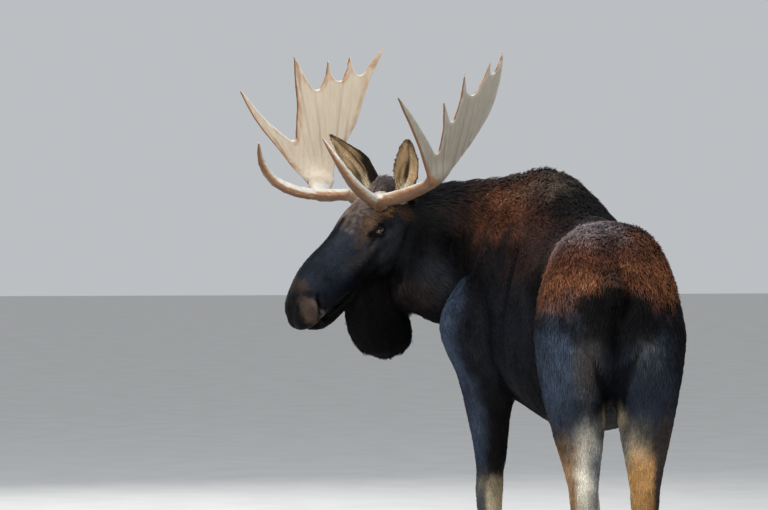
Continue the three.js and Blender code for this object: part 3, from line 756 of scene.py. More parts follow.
LEG_MARKINGS = (
    LegMarking("hind_left", 0.95, 0.20, 215.0, 0.05, 0.50, (0.085, 0.088, 0.090)),
    LegMarking("hind_left", 0.91, 0.20, 146.0, 0.08, 0.50, (0.170, 0.100, 0.052)),
    LegMarking("hind_left", 0.95, 0.20, 192.0, 0.74, 0.24, (0.43, 0.39, 0.31)),
    LegMarking("hind_left", 0.95, 0.20, 240.0, 0.45, 0.40, (0.115, 0.120, 0.125)),
    LegMarking("hind_right", 0.96, 0.20, 106.0, 0.20, 0.50, (0.17, 0.150, 0.110)),
    LegMarking("hind_right", 0.91, 0.22, 154.0, 0.76, 0.20, (0.29, 0.155, 0.056)),
    LegMarking("hind_right", 0.95, 0.10, 215.0, 0.76, 0.13, (0.026, 0.021, 0.019)),
    LegMarking("fore_left", 0.70, 0.22, 176.0, -0.2, 0.50, ASH),
    LegMarking("fore_right", 0.70, 0.22, 176.0, -0.2, 0.50, ASH),
    # painted highlight: grey on the side of the left fore leg that faces the light
    LegMarking("fore_left", 0.70, 0.20, 100.0, 0.30, 0.40, (0.050, 0.050, 0.050)),
)
PALE_ROUND = (0.46, 0.34)  # heights between which the pale hair spreads right round a leg
CORONET = (0.10, 0.066)  # heights between which the hair darkens above the hooves

FACE_MARKINGS = (
    # painted sheen: bluish grey on the middle of the face and the nose
    Marking("painted face slate sheen", (0.330, 0.060, -0.060), (0.20, 0.09, 0.11), SHEEN_SLATE, 0.9, 1.0),
    Marking("painted face smoke sheen", (0.250, 0.070, -0.050), (0.13, 0.06, 0.06), (0.034, 0.040, 0.052), 0.75, 1.3, 0.3),
    Marking("forehead", (0.045, 0.030, -0.005), (0.110, 0.090, 0.06), FAWN, 0.95, 1.0, 0.35, 0, 0.6),
    Marking("poll", (-0.110, 0.020, 0.030), (0.070, 0.100, 0.080), (0.095, 0.072, 0.062), 0.9, 1.1, 0.35, 0, 0.5),
    Marking("brow", (0.085, 0.082, -0.040), (0.055, 0.035, 0.030), (0.150, 0.080, 0.045), 0.9, 1.0, 0.3, 0, 0.4),
    Marking("burr tuft", (0.008, 0.100, -0.062), (0.026, 0.030, 0.020), GINGER, 0.9, 0.8, 0.5, 0, 0.8, 0.007),
    Marking("before the eye", (0.165, 0.090, -0.060), (0.050, 0.030, 0.028), EARTH, 0.7, 1.2, 0.3, 0, 0.4),
    Marking("tear spot", (0.130, 0.100, -0.070), (0.018, 0.020, 0.014), BLACK, 1.0, 0.6, 0.2),
    Marking("eye rim", (0.094, 0.110, -0.088), (0.038, 0.030, 0.027), SOOT, 0.95, 0.7, 0.2),
    Marking("cheek streak", (0.215, 0.080, -0.115), (0.085, 0.040, 0.022), STREAK, 0.7, 1.2, 0.4, 0, 0.4),
    Marking("jaw shade", (0.230, 0.060, -0.225), (0.18, 0.06, 0.05), BLACK, 1.0, 0.8),
    # painted sheen on the cheek
    Marking("painted cheek smoke sheen", (0.060, 0.110, -0.190), (0.12, 0.07, 0.09), (0.036, 0.039, 0.046), 0.8, 1.4, 0.3),
    Marking("behind the cheek", (-0.045, 0.090, -0.110), (0.030, 0.040, 0.055), EARTH, 0.7, 1.0, 0.3),
    Marking("nose top", (0.490, 0.040, -0.025), (0.026, 0.055, 0.035), (0.070, 0.046, 0.032), 0.55, 1.3, 0.4),
    Marking("muzzle brown", (0.538, 0.088, -0.110), (0.038, 0.050, 0.085), (0.090, 0.058, 0.044), 0.95, 1.1, 0.3),
    Marking("muzzle pale", (0.512, 0.095, -0.098), (0.013, 0.030, 0.035), (0.16, 0.115, 0.095), 0.6, 1.2, 0.3),
    Marking("nose band", (0.498, 0.060, -0.054), (0.016, 0.050, 0.016), (0.010, 0.007, 0.006), 0.85, 1.0, 0.3),
    Marking("nose dark", (0.575, 0.000, -0.095), (0.045, 0.062, 0.085), (0.006, 0.005, 0.005), 1.0, 0.7, 0.2),
    Marking("nostril dark", (0.494, 0.088, -0.114), (0.012, 0.030, 0.034), BLACK, 0.9, 0.6, 0.1, 0),
    Marking("nostril turn", (0.517, 0.088, -0.138), (0.009, 0.030, 0.018), BLACK, 0.85, 0.9, 0.1),
    Marking("nostril end", (0.536, 0.070, -0.168), (0.010, 0.035, 0.016), BLACK, 0.80, 0.9, 0.1),
    Marking("nostril wing", (0.504, 0.088, -0.158), (0.009, 0.030, 0.018), LIP_GREY, 0.7, 1.0, 0.2),
    Marking("lip corner", (0.523, 0.060, -0.188), (0.012, 0.035, 0.012), LIP_GREY, 0.6, 1.0, 0.2),
    Marking("lip streak", (0.430, 0.040, -0.195), (0.060, 0.050, 0.010), (0.060, 0.058, 0.056), 0.7, 1.2, 0.3),
    Marking("pale lip", (0.510, 0.060, -0.172), (0.030, 0.040, 0.010), (0.14, 0.12, 0.10), 0.9, 0.8, 0.2),
)


@dataclass(frozen=True)
class EarPattern:
    """The colours inside an ear and where they lie.

    Spans along are shares of the ear's length and spans across shares of its half width. A colour starts at the
    first number of its span and is full at the second.
    """

    fawn: Triple = EAR_TAN
    dark: Triple = EAR_DARK
    pale: Triple = (0.58, 0.42, 0.24)
    cream: Triple = (0.72, 0.58, 0.38)
    blotch: Triple = (2.5, 7.0, 0.0)  # cells of the blotches along, across and through the ear
    blotched: Pair = (-0.1, 0.7)
    slit_aside: float = 0.02
    slit_across: Pair = (0.24, 0.08)
    slit_root: Pair = (0.20, 0.30)
    slit_tip: Pair = (0.72, 0.56)
    rim_across: Pair = (0.72, 0.92)
    rim_along: Pair = (0.92, 0.98)
    darkest: float = 0.94
    strip_aside: float = 0.30
    strip_across: Pair = (0.14, 0.05)
    strip_along: Pair = (0.92, 0.80)
    root_aside: float = 0.2
    root_across: Pair = (0.7, 0.3)
    root_along: Pair = (0.36, 0.16)
    edge_across: Pair = (0.1, 0.6)
    edge_along: Pair = (0.65, 0.35)
    back_across: Pair = (0.15, 0.45)
    back_along: Pair = (0.70, 0.45)

    def hollow(self, along: Array, across: Array, inside: Array, side: int) -> Array:
        """Where the hollow's colours show; on the right ear the dark back reaches round one edge.

        Args:
            along: Share of the ear's length.
            across: Share of its half width.
            inside: How far each place is on the ear's inside.
            side: 1 for the left ear, -1 for the right one.

        Returns:
            The share of the hollow's colours.
        """
        if side > 0:
            return inside
        return inside * (1 - ramp(across, *self.back_across) * ramp(along, *self.back_along))

    def colours(self, along: Array, across: Array, side: int) -> Array:
        """The hollow's colours: fawn with a dark slit and rim, a pale strip and a cream root.

        Args:
            along: Share of the ear's length.
            across: Share of its half width.
            side: 1 for the left ear, -1 for the right one.

        Returns:
            A colour for each place.
        """
        flat = np.column_stack([along, across, across]) * np.array(self.blotch)
        blotches = ramp(swirl(flat, 1.0, 9), *self.blotched)
        slit = (
            ramp(np.abs(across + self.slit_aside * side), *self.slit_across)
            * ramp(along, *self.slit_root)
            * ramp(along, *self.slit_tip)
        )
        rim = np.maximum(ramp(np.abs(across), *self.rim_across), ramp(along, *self.rim_along))
        dark = np.clip(0.7 * blotches + 0.95 * slit + 0.75 * rim, 0, self.darkest)
        colours = mixed(np.tile(np.array(self.fawn), (len(along), 1)), np.array(self.dark), dark)
        strip = ramp(np.abs(across - self.strip_aside * side), *self.strip_across) * ramp(along, *self.strip_along)
        colours = mixed(colours, np.array(self.pale), 0.6 * strip)
        root = ramp(along, *self.root_along) * ramp(np.abs(across - self.root_aside * side), *self.root_across)
        colours = mixed(colours, np.array(self.cream), root)
        if side < 0:
            edge = 0.8 * ramp(-across, *self.edge_across) * ramp(along, *self.edge_along)
            colours = mixed(colours, np.array(self.dark), edge)
        return colours


class Markings:
    """The colours of the animal's hair and skin."""

    relief = 0.6  # painted highlight and shade: how much paler the hair is painted on ridges, and darker in folds
    raised = 0.004  # how far a full ridge stands out of the skin round it
    leg_reach = 0.17  # how far from a leg's middle line its hair is counted
    back_shade = 0.6  # how much darker an ear's back is than its slit

    def __init__(self, spine: Spine, head: HeadFrame) -> None:
        """Keeps what the colours are measured by."""
        self.spine = spine
        self.head = head

    def colours(self, sheet: Sheet, kinds: Array) -> Array:
        """The hair's colour over the skin.

        Args:
            sheet: The skin's mesh.
            kinds: The kind of body part of each vertex.

        Returns:
            Linear red, green and blue for each place.
        """
        points = sheet.spots
        shade = np.tile(np.array(BLACK), (len(points), 1))
        for marking in BODY_MARKINGS:
            shade = mixed(shade, np.array(marking.colour), marking.mask(points))
        shade = self.on_legs(points, shade)
        # painted highlight and shade: the hair is painted paler on ridges and darker in folds
        raised = dot(points - sheet.diffuse(points, 40), sheet.normals)
        shade = shade * (1 + self.relief * np.clip(raised / self.raised, -0.9, 1.0))[:, None]
        share = sheet.diffuse(np.isin(kinds, HEAD_KINDS).astype(float), 30)
        on_head = share > 0.01
        face = self.head.face(points[on_head])
        face[:, 1] = np.abs(face[:, 1])
        patch = np.tile(np.array(BLACK), (len(face), 1))
        for marking in FACE_MARKINGS:
            patch = mixed(patch, np.array(marking.colour), marking.mask(face))
        shade[on_head] = mixed(shade[on_head], patch, share[on_head])
        return self.on_ears(sheet, kinds, shade)

    def on_legs(self, points: Array, shade: Array) -> Array:
        """Adds the pale hair of the legs.

        Args:
            points: Places, one a row.
            shade: Their colours so far.

        Returns:
            Their new colours.
        """
        fray = 0.035 * swirl(points, 0.06, 7) + 0.020 * swirl(points, 0.020, 8)
        for leg in LEGS:
            near, _ = self.round_leg(leg, points)
            shade = mixed(shade, np.array(ASH), 0.8 * near * ramp(points[:, 2] + fray, *PALE_ROUND))
        for marking in LEG_MARKINGS:
            near, out = self.round_leg(marking.leg, points)
            turn = math.radians(marking.facing)
            side = out @ np.array([math.sin(turn), -math.cos(turn)]) + 2.5 * fray
            reach = ramp(points[:, 2] + fray, marking.top, marking.top - marking.fade) ** 2
            pale = near * reach * ramp(side, marking.spread, marking.spread + marking.soft)
            shade = mixed(shade, np.array(marking.colour), pale)
        return mixed(shade, np.array(UMBER), 0.7 * ramp(points[:, 2], *CORONET))

    @staticmethod
    def round_leg(leg: str, points: Array) -> tuple[Array, Array]:
        """Which places are on a leg, and the level unit vectors out from its middle line.

        Args:
            leg: Name of the leg.
            points: Places, one a row.

        Returns:
            Whether each place is on the leg, and its unit vector.
        """
        low, high = (np.array(corner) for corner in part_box(f"leg_{leg}_upper"))
        foot_low, foot_high = (np.array(corner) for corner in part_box(f"leg_{leg}_lower"))
        top, foot = (low + high) / 2, (foot_low + foot_high) / 2
        share = np.clip((points[:, 2] - foot[2]) / (top[2] - foot[2]), -1, 2)
        off = (points - foot - share[:, None] * (top - foot))[:, :2]
        return np.linalg.norm(off, axis=1) < Markings.leg_reach, unit(off)

    def on_ears(self, sheet: Sheet, kinds: Array, shade: Array) -> Array:
        """Paints the ears: dark outside, fawn inside with a dark slit, cream at the root.

        Args:
            sheet: The skin's mesh.
            kinds: The kind of body part of each vertex.
            shade: The colours so far.

        Returns:
            The new colours.
        """
        pattern = EarPattern()
        for kind, side in EAR_KINDS:
            chosen = kinds == kind.value
            along, across, inside, _ = Ear.of(side).on(sheet, chosen, self.head)
            back = np.tile(self.back_shade * np.array(EAR_DARK), (len(along), 1))
            hollow = pattern.hollow(along, across, inside, side)
            shade[chosen] = mixed(back, pattern.colours(along, across, side), hollow)
        return shade


@dataclass(frozen=True)
class Ear:
    """One ear's middle line and the way its hollow faces, ahead, left and up from the brow."""

    root: Triple
    bend: Triple
    tip: Triple
    mouth: Triple
    half_width: float = 0.06
    stations: tuple[float, ...] = (0, 0.2, 0.45, 0.7, 0.9, 1)
    widths: tuple[float, ...] = (0.5, 0.73, 1.0, 0.9, 0.47, 0.15)  # shares of half_width at the stations
    steps: int = 60  # places on the middle line

    @staticmethod
    def of(side: int) -> "Ear":
        """The left ear for side 1, the right one for side -1."""
        return EARS[side]

    def on(self, sheet: Sheet, chosen: Array, head: HeadFrame) -> tuple[Array, Array, Array, Array]:
        """Where the chosen vertices of the skin lie on the ear.

        Args:
            sheet: The skin's mesh.
            chosen: Which of its vertices.
            head: The head's frame.

        Returns:
            What locate gives for them.
        """
        return self.locate(head.antler(sheet.spots[chosen]), sheet.normals[chosen] @ head.upright)

    def locate(self, points: Array, normals: Array) -> tuple[Array, Array, Array, Array]:
        """Where places lie on the ear.

        Args:
            points: Places ahead, left and up from the brow.
            normals: The surface's normals there, in the same directions.

        Returns:
            Share of the length from root to tip, share of the half width across, how far the surface is on the
            ear's inside, from 0 to 1, and the unit vectors across.
        """
        knots = np.array([self.root, self.bend, self.tip])
        ts = np.linspace(0, 1, self.steps)
        line = (
            np.outer((1 - ts) * (1 - 2 * ts), knots[0])
            + np.outer(4 * ts * (1 - ts), knots[1])
            + np.outer(ts * (2 * ts - 1), knots[2])
        )
        near = ((points[:, None] - line[None]) ** 2).sum(-1).argmin(1)
        tangent = unit(np.gradient(line, axis=0))[near]
        mouth = np.array(self.mouth)
        opening = unit(mouth - dot(tangent, mouth)[:, None] * tangent)
        edge = np.cross(tangent, opening)
        off = points - line[near]
        width = np.interp(ts[near], self.stations, self.widths) * self.half_width
        return ts[near], dot(off, edge) / width, ramp(dot(normals, opening), -0.05, 0.30), edge


EARS = {
    1: Ear((-0.092, 0.084, -0.010), (-0.104, 0.116, 0.120), (-0.084, 0.142, 0.258), (0.7, 0.7, 0.0)),
    -1: Ear((-0.096, -0.092, -0.006), (-0.062, -0.196, 0.122), (0.022, -0.300, 0.240), (0.66, 0.5, -0.56)),
}
EAR_KINDS = ((Kind.EAR_LEFT, 1), (Kind.EAR_RIGHT, -1))


# ---- the coat's lie ----------------------------------------------------------------------------------


@dataclass(frozen=True)
class Hair:
    """The hair of one part of the body, lengths in metres. Lift and curl are shares of the length."""

    length: float
    width: float
    lift: float
    curl: float
    density: float
    depth: float

    def row(self) -> list[float]:
        """The six numbers as a row."""
        return [self.length, self.width, self.lift, self.curl, self.density, self.depth]


HAIR = {
    Kind.TRUNK: Hair(0.036, 0.0042, 0.13, 0.10, 1.00, 0.008),
    Kind.NECK: Hair(0.048, 0.0046, 0.18, 0.16, 0.95, 0.012),
    Kind.HEAD: Hair(0.013, 0.0026, 0.12, 0.08, 1.60, 0.003),
    Kind.JAW: Hair(0.016, 0.0028, 0.16, 0.10, 1.30, 0.003),
    Kind.BELL: Hair(0.032, 0.0038, 0.18, 0.22, 1.20, 0.009),
    Kind.EAR_LEFT: Hair(0.008, 0.0018, 0.06, 0.08, 2.40, 0.002),
    Kind.EAR_RIGHT: Hair(0.008, 0.0018, 0.06, 0.08, 2.40, 0.002),
    Kind.TAIL: Hair(0.038, 0.0040, 0.14, 0.14, 1.20, 0.004),
    Kind.THIGH: Hair(0.024, 0.0036, 0.12, 0.08, 1.05, 0.005),
    Kind.SHANK: Hair(0.015, 0.0030, 0.10, 0.06, 1.10, 0.0035),
}
FUZZY = Hair(0.036, 0.0034, 0.46, 0.46, 1.30, 0.019)  # raised woolly hair of the hump and rump
MANE = Hair(0.070, 0.0046, 0.40, 0.35, 1.20, 0.028)  # crest of neck and withers
MUZZLE = Hair(0.005, 0.0018, 0.12, 0.05, 1.30, 0.0015)
EAR_FLUFF = Hair(0.034, 0.0026, 0.36, 0.36, 2.2, 0.002)
FOREHEAD = Hair(0.030, 0.0030, 0.42, 0.55, 1.7, 0.008)


class Coat:
    """What grows on each vertex of the skin: the hair's sizes and the way it lies.

    A change sets in at the first number of its span and is full at the second. Height and along are metres over
    the ground and along the spine, down and out are metres down the face and out of it, and up is how far the
    skin faces up.
    """

    rump_height: Pair = (1.27, 1.40)
    rump_along: Pair = (0.55, 0.40)
    arch: Triple = (0.10, 1.33, 0.09)  # over the tail: half its width, its middle's height and half its height
    arch_edge: Pair = (1.3, 0.8)
    arch_along: Pair = (0.10, 0.05)
    hump_height: Pair = (1.52, 1.70)
    hump_along: Pair = (0.60, 0.80)
    hump_up: Pair = (0.2, 0.8)
    crest_up: Pair = (0.55, 0.9)
    crest_along: Pair = (1.10, 1.35)
    short_height: Pair = (1.12, 0.92)
    muzzle_down: Pair = (0.36, 0.50)
    front_down: Pair = (0.10, 0.03)
    front_out: Pair = (-0.07, -0.03)
    cheek_down: Pair = (0.02, -0.06)
    cheek_out: Pair = (-0.06, -0.10)
    fluff_along: Pair = (0.50, 0.2)  # share of the ear's length
    rear_along: Pair = (0.22, 0.02)
    shoulder_along: Pair = (1.15, 1.35)
    shoulder_height: Pair = (1.6, 1.2)
    low_height: Pair = (1.05, 0.85)
    cheeks_aside: Pair = (0.03, 0.08)
    eddy_share: float = 0.25
    eddy_size: float = 0.16

    def __init__(self, sheet: Sheet, kinds: Array, spine: Spine, head: HeadFrame) -> None:
        """Works the coat out over the skin.

        Args:
            sheet: The skin's mesh.
            kinds: The kind of body part of each vertex.
            spine: The animal's middle line.
            head: The head's frame.
        """
        self.sheet, self.kinds, self.spine, self.head = sheet, kinds, spine, head
        self.along, self.aside, self.ahead, self.left = spine.locate(sheet.spots)
        self.rows = self.hair()
        self.lie = self.direction()

    def blend(self, rows: Array, hair: Hair, share: Array) -> Array:
        """Mixes another hair into the rows by a share for each vertex."""
        return mixed(rows, np.array(hair.row()), share)

    def fuzz(self) -> Array:
        """How woolly the hair is: on the hump and over the rump cap.

        Returns:
            One share for each vertex.
        """
        spots, up = self.sheet.spots, self.sheet.normals[:, 2]
        trunk = np.isin(self.kinds, (Kind.TRUNK.value, Kind.TAIL.value))
        rump = ramp(spots[:, 2], *self.rump_height) * ramp(self.along, *self.rump_along)
        wide, middle, high = self.arch
        round_tail = np.hypot(self.aside / wide, (spots[:, 2] - middle) / high)
        arch = ramp(round_tail, *self.arch_edge) * ramp(self.along, *self.arch_along)
        hump = ramp(spots[:, 2], *self.hump_height) * ramp(self.along, *self.hump_along)
        top = 0.45 + 0.55 * ramp(up, *self.hump_up)
        return trunk * np.clip(rump * (1 - arch) + hump * top, 0, 1)

    def hair(self) -> Array:
        """The six hair numbers of each vertex.

        Returns:
            One row for each vertex, in the order of Hair's fields.
        """
        table = np.array([HAIR[kind].row() for kind in Kind])
        rows = table[self.kinds]
        spots, up = self.sheet.spots, self.sheet.normals[:, 2]
        torso = np.isin(self.kinds, TORSO_KINDS)
        rows = self.blend(rows, FUZZY, self.fuzz())
        crest = torso * ramp(up, *self.crest_up) * ramp(self.along, *self.crest_along)
        rows = self.blend(rows, MANE, crest)
        short = torso * ramp(spots[:, 2], *self.short_height)
        rows = self.blend(rows, HAIR[Kind.THIGH], short)
        face = self.head.face(spots)
        on_head = np.isin(self.kinds, HEAD_KINDS)
        muzzle = on_head * ramp(face[:, 0], *self.muzzle_down)
        rows = self.blend(rows, MUZZLE, muzzle)
        front = on_head * ramp(face[:, 0], *self.front_down) * ramp(face[:, 2], *self.front_out)
        rows = self.blend(rows, FOREHEAD, front)
        cheek = on_head * ramp(face[:, 0], *self.cheek_down) * ramp(face[:, 2], *self.cheek_out)
        rows = self.blend(rows, HAIR[Kind.NECK], 0.6 * cheek)
        rows = self.sheet.diffuse(rows, 6)
        for kind, side in EAR_KINDS:
            chosen = self.kinds == kind.value
            along, _, inside, _ = Ear.of(side).on(self.sheet, chosen, self.head)
            fluff = inside * ramp(along, *self.fluff_along)
            rows[chosen] = self.blend(rows[chosen], EAR_FLUFF, fluff)
        return rows

    def direction(self) -> Array:
        """The way the hair lies at each vertex: a unit vector along the skin.

        Returns:
            One unit vector for each vertex.
        """
        spots, normals = self.sheet.spots, self.sheet.normals
        back, down = -self.ahead, np.tile(-UP, (len(spots), 1))
        steep = 1.0 - np.abs(normals[:, 2])
        flow = back + down * (0.25 + 0.65 * steep)[:, None]
        rear = ramp(self.along, *self.rear_along)
        flow = mixed(flow, down + 0.15 * back, rear)
        shoulder = ramp(self.along, *self.shoulder_along) * steep * ramp(spots[:, 2], *self.shoulder_height)
        flow = mixed(flow, down + 0.5 * back, 0.7 * shoulder)
        low = ramp(spots[:, 2], *self.low_height) * steep
        flow = mixed(flow, down + 0.1 * back, low)
        for kind in (Kind.THIGH, Kind.SHANK):
            flow[self.kinds == kind.value] = (-UP + 0.12 * back)[self.kinds == kind.value]
        flow[self.kinds == Kind.BELL.value] = -UP
        flow[self.kinds == Kind.TAIL.value] = -UP
        on_head = np.isin(self.kinds, HEAD_KINDS)
        face = self.head.face(spots)
        cheeks = ramp(np.abs(face[:, 1]), *self.cheeks_aside)
        up_face = np.tile(-self.head.axes[:, 0], (len(spots), 1))
        head_flow = mixed(up_face, unit(up_face * 0.8 - UP * 0.7), cheeks)
        flow[on_head] = head_flow[on_head]
        flow = unit(self.sheet.diffuse(unit(flow), 8))
        for kind, side in EAR_KINDS:
            ear = Ear.of(side)
            run = self.head.upright @ (np.array(ear.tip) - np.array(ear.root))
            flow[self.kinds == kind.value] = unit(run)
        flow = flow + self.eddy_share * self.eddies(spots)
        return unit(flow - dot(flow, normals)[:, None] * normals)

    def eddies(self, spots: Array) -> Array:
        """Slow turns in the way the hair lies."""
        return np.column_stack([swirl(spots, self.eddy_size, seed) for seed in (11, 12, 13)])


# ---- skin --------------------------------------------------------------------------------------------

EVENNESS = {  # how strongly the facets are rounded off
    Kind.TRUNK: 1.0,
    Kind.NECK: 1.0,
    Kind.THIGH: 0.5,
    Kind.SHANK: 0.22,
    Kind.EAR_LEFT: 0.12,
    Kind.EAR_RIGHT: 0.12,
}


@dataclass
class Skin:
    """One skin over the whole body, sunk below the solids by the depth of the coat."""

    spine: Spine
    head: HeadFrame
    voxel: float = 0.0065
    swell: float = 0.0008
    keep: float = 0.30
    lid_reach: float = 0.050
    lid_gap: float = 0.0105
    lid_length: float = 0.0205
    lid_ahead: float = 0.003
    lid_tilt: float = 40.0
    eye_radius: float = 0.020
    lid_thick: float = 0.0026
    lid_roll: float = 0.0022
    lid_side: float = -0.012  # how far inside the eyeball's middle the skin still moves
    lid_cover: Pair = (0.98, 0.9)  # where the lids start, in lid_reach, and are full, in eye_radius
    lid_sunk: float = 0.6  # how much of the skin's own height the lids keep at least
    lid_roll_at: Pair = (1.15, 0.18)  # middle and width of the rolled rim, in sizes of the opening
    under_eye: float = 0.004  # how deep the skin lies behind the opening
    tail_tip: Triple = (-0.42, 1.00, 1.27)
    tail_reach: float = 0.055
    eye_spot: Triple = (0.090, 0.100, -0.094)
    nostril_spot: Triple = (0.500, 0.085, -0.120)
    fine_middle: Triple = (0.15, 0.0, -0.1)
    fine_reach: float = 0.62
    fine_behind: Pair = (-0.16, -0.17)  # how far behind the brow the mesh stays fine, along the face and level
    refined: Pair = (0.075, 0.040)
    bell_wider: float = 0.24
    bell_foot: Triple = (0.15, 0.20, 0.03)  # heights above its tip: foot, start and end of the widening
    crown_rise: float = 0.040
    crown: Pair = (-0.075, -0.015)  # its middle, ahead and left of the brow
    crown_size: Pair = (0.055, 0.065)

    def build(self) -> tuple[Obj, Sheet, Array]:
        """Fuses, smooths, sinks and sculpts the skin.

        Returns:
            The skin, its mesh as arrays and the kind of each vertex.
        """
        nodes = flesh_nodes()
        names = list(nodes)
        joined = copy_of(names, "flesh", self.swell)
        skin = joined.copy()
        skin.data = joined.data.copy()
        skin.name = "skin"
        bpy.context.collection.objects.link(skin)
        remeshed(skin, self.voxel)
        self.thin(skin)
        kinds = self.kinds_of(joined, skin, nodes, names)
        self.smooth(skin, kinds)
        for reach in self.refined:
            self.refine(skin, reach)
        kinds = self.kinds_of(joined, skin, nodes, names)
        bpy.data.objects.remove(joined)
        self.sink(skin, kinds)
        self.sculpt(skin, kinds)
        for polygon in skin.data.polygons:
            polygon.use_smooth = True
        return skin, Sheet(skin), kinds

    def kinds_of(
        self, joined: Obj, skin: Obj, nodes: dict[str, Kind], names: list[str]
    ) -> Array:
        """The kind of body part nearest to each vertex of the skin."""
        table = np.array([nodes[name].value for name in names])
        return table[owners_at(joined, Sheet(skin).spots)]

    def thin(self, skin: Obj) -> None:
        """Thins the mesh of the body, and leaves head and ears fine.

        Args:
            skin: The skin.
        """
        spots = Sheet(skin).spots
        face = self.head.face(spots)
        fine = np.linalg.norm(face - self.fine_middle, axis=1) < self.fine_reach
        fine &= face[:, 0] > self.fine_behind[0]
        fine &= self.head.antler(spots)[:, 0] > self.fine_behind[1]
        body = skin.vertex_groups.new(name="body")
        body.add(np.where(~fine)[0].tolist(), 1.0, "REPLACE")
        select_only(skin)
        modifier = skin.modifiers.new("thin", "DECIMATE")
        modifier.ratio = self.keep
        modifier.vertex_group = body.name
        bpy.ops.object.modifier_apply(modifier=modifier.name)
        skin.vertex_groups.clear()

    def smooth(self, skin: Obj, kinds: Array) -> None:
        """Rounds off the facets: most on the trunk, least on ears, face and lower legs.

        Args:
            skin: The skin.
            kinds: The kind of body part of each vertex.
        """
        sheet = Sheet(skin)
        amount = sheet.diffuse(np.array([EVENNESS.get(kind, 0.35) for kind in Kind])[kinds], 6)
        write_spots(skin, sheet.even(sheet.spots, 24, amount))

    def refine(self, skin: Obj, reach: float) -> None:
        """Makes the mesh finer round the eyes and nostrils.

        Args:
            skin: The skin.
            reach: How far round an eye the mesh is made finer.
        """
        face = self.head.face(Sheet(skin).spots)
        face[:, 1] = np.abs(face[:, 1])
        eye = np.linalg.norm(face - self.eye_spot, axis=1) < reach
        nostril = np.linalg.norm(face - self.nostril_spot, axis=1) < reach * 1.2
        subdivide_near(skin, eye | nostril)

    def sink(self, skin: Obj, kinds: Array) -> None:
        """Moves the skin inwards by the depth of the hair that grows on it.

        Args:
            skin: The skin.
            kinds: The kind of body part of each vertex.
        """
        sheet = Sheet(skin)
        rows = Coat(sheet, kinds, self.spine, self.head).rows
        depth = sheet.diffuse(rows[:, 5], 10)
        spots = sheet.spots - sheet.normals * depth[:, None]
        dock = np.exp(-((np.linalg.norm(spots - self.tail_tip, axis=1) / self.tail_reach) ** 2))
        write_spots(skin, sheet.diffuse(spots, 60, dock))

    def sculpt(self, skin: Obj, kinds: Array) -> None:
        """Raises muscles and bones, presses creases in, and shapes the face, the ears, the bell and the lids.

        Args:
            skin: The skin.
            kinds: The kind of body part of each vertex.
        """
        sheet = Sheet(skin)
        spots = sheet.spots
        face = self.head.face(spots)
        face[:, 1] = np.abs(face[:, 1])
        on_head = np.isin(kinds, HEAD_KINDS)
        rise = np.where(
            on_head,
            sculpted(face, FACE_SWELLINGS, FACE_FURROWS, FACE_EASE),
            sculpted(spots, BODY_SWELLINGS, BODY_FURROWS),
        )
        spread = self.poll(spots)
        bell = kinds == Kind.BELL.value
        spread[bell, :2] += self.wider_bell(spots[bell])
        for kind, side in EAR_KINDS:
            chosen = kinds == kind.value
            along, across, inner, edge = Ear.of(side).on(sheet, chosen, self.head)
            slim = self.slimmer_ear(along, across, side)
            spread[chosen] += edge @ self.head.upright.T * slim[:, None]
            rise[chosen] = self.ear_folds(along, across, inner, side)
        write_spots(skin, spots + spread + sheet.normals * rise[:, None])
        for side in (1, -1):
            self.lids(skin, side)

    def wider_bell(self, spots: Array) -> Array:
        """How far the bell's hair spreads near its tip, level and away from its middle.

        Args:
            spots: The bell's vertices.

        Returns:
            Level shifts, one for each vertex.
        """
        foot, start, full = self.bell_foot
        tip = spots[:, 2].min()
        near = spots[spots[:, 2] < tip + foot].mean(0)
        wider = self.bell_wider * ramp(spots[:, 2], tip + start, tip + full)
        return (spots[:, :2] - near[:2]) * wider[:, None]

    @staticmethod
    def slimmer_ear(along: Array, across: Array, side: int) -> Array:
        """How far an ear's edges move across it: the left root slimmer, the left tip and the right back wider.

        Args:
            along: Share of the ear's length.
            across: Share of its half width.
            side: 1 for the left one, -1 for the right one.

        Returns:
            A distance for each place.
        """
        if side < 0:
            return 0.030 * ramp(across, 0.1, 0.8) * ramp(along, 0.0, 0.15) * ramp(along, 0.78, 0.40)
        slim = 0.018 * ramp(-across, 0.1, 0.8) * ramp(along, 0.0, 0.10) * ramp(along, 0.58, 0.12)
        return slim + 0.007 * np.clip(across, -1, 1) * ramp(along, 0.80, 0.93)

    @staticmethod
    def ear_folds(along: Array, across: Array, inner: Array, side: int) -> Array:
        """The slit and the two folds in an ear's hollow.

        Args:
            along: Share of the ear's length.
            across: Share of its half width.
            inner: How far each place is on the ear's inside.
            side: 1 for the left one, -1 for the right one.

        Returns:
            A rise for each place.
        """
        inner = inner * ramp(along, 0.10, 0.20) * ramp(along, 0.95, 0.75)
        slit = np.exp(-(((across - 0.06 * side) / 0.14) ** 2)) * ramp(along, 0.80, 0.55)
        fold = np.exp(-(((across - 0.34 * side) / 0.12) ** 2))
        fold = fold + 0.6 * np.exp(-(((across + 0.35 * side) / 0.15) ** 2))
        return inner * (0.004 * fold - 0.007 * slit)

    def poll(self, spots: Array) -> Array:
        """How far the crown of hair between the ears rises.

        Args:
            spots: The skin's vertices.

        Returns:
            A shift for each vertex.
        """
        ahead, left, up = self.head.antler(spots).T
        off = [(value - at) / size for value, at, size in zip((ahead, left), self.crown, self.crown_size)]
        share = np.exp(-(off[0] ** 2) - off[1] ** 2)
        share *= ramp(up, -0.10, 0.00) * ramp(up, 0.14, 0.06)
        return self.head.upright[:, 2] * (self.crown_rise * share)[:, None]

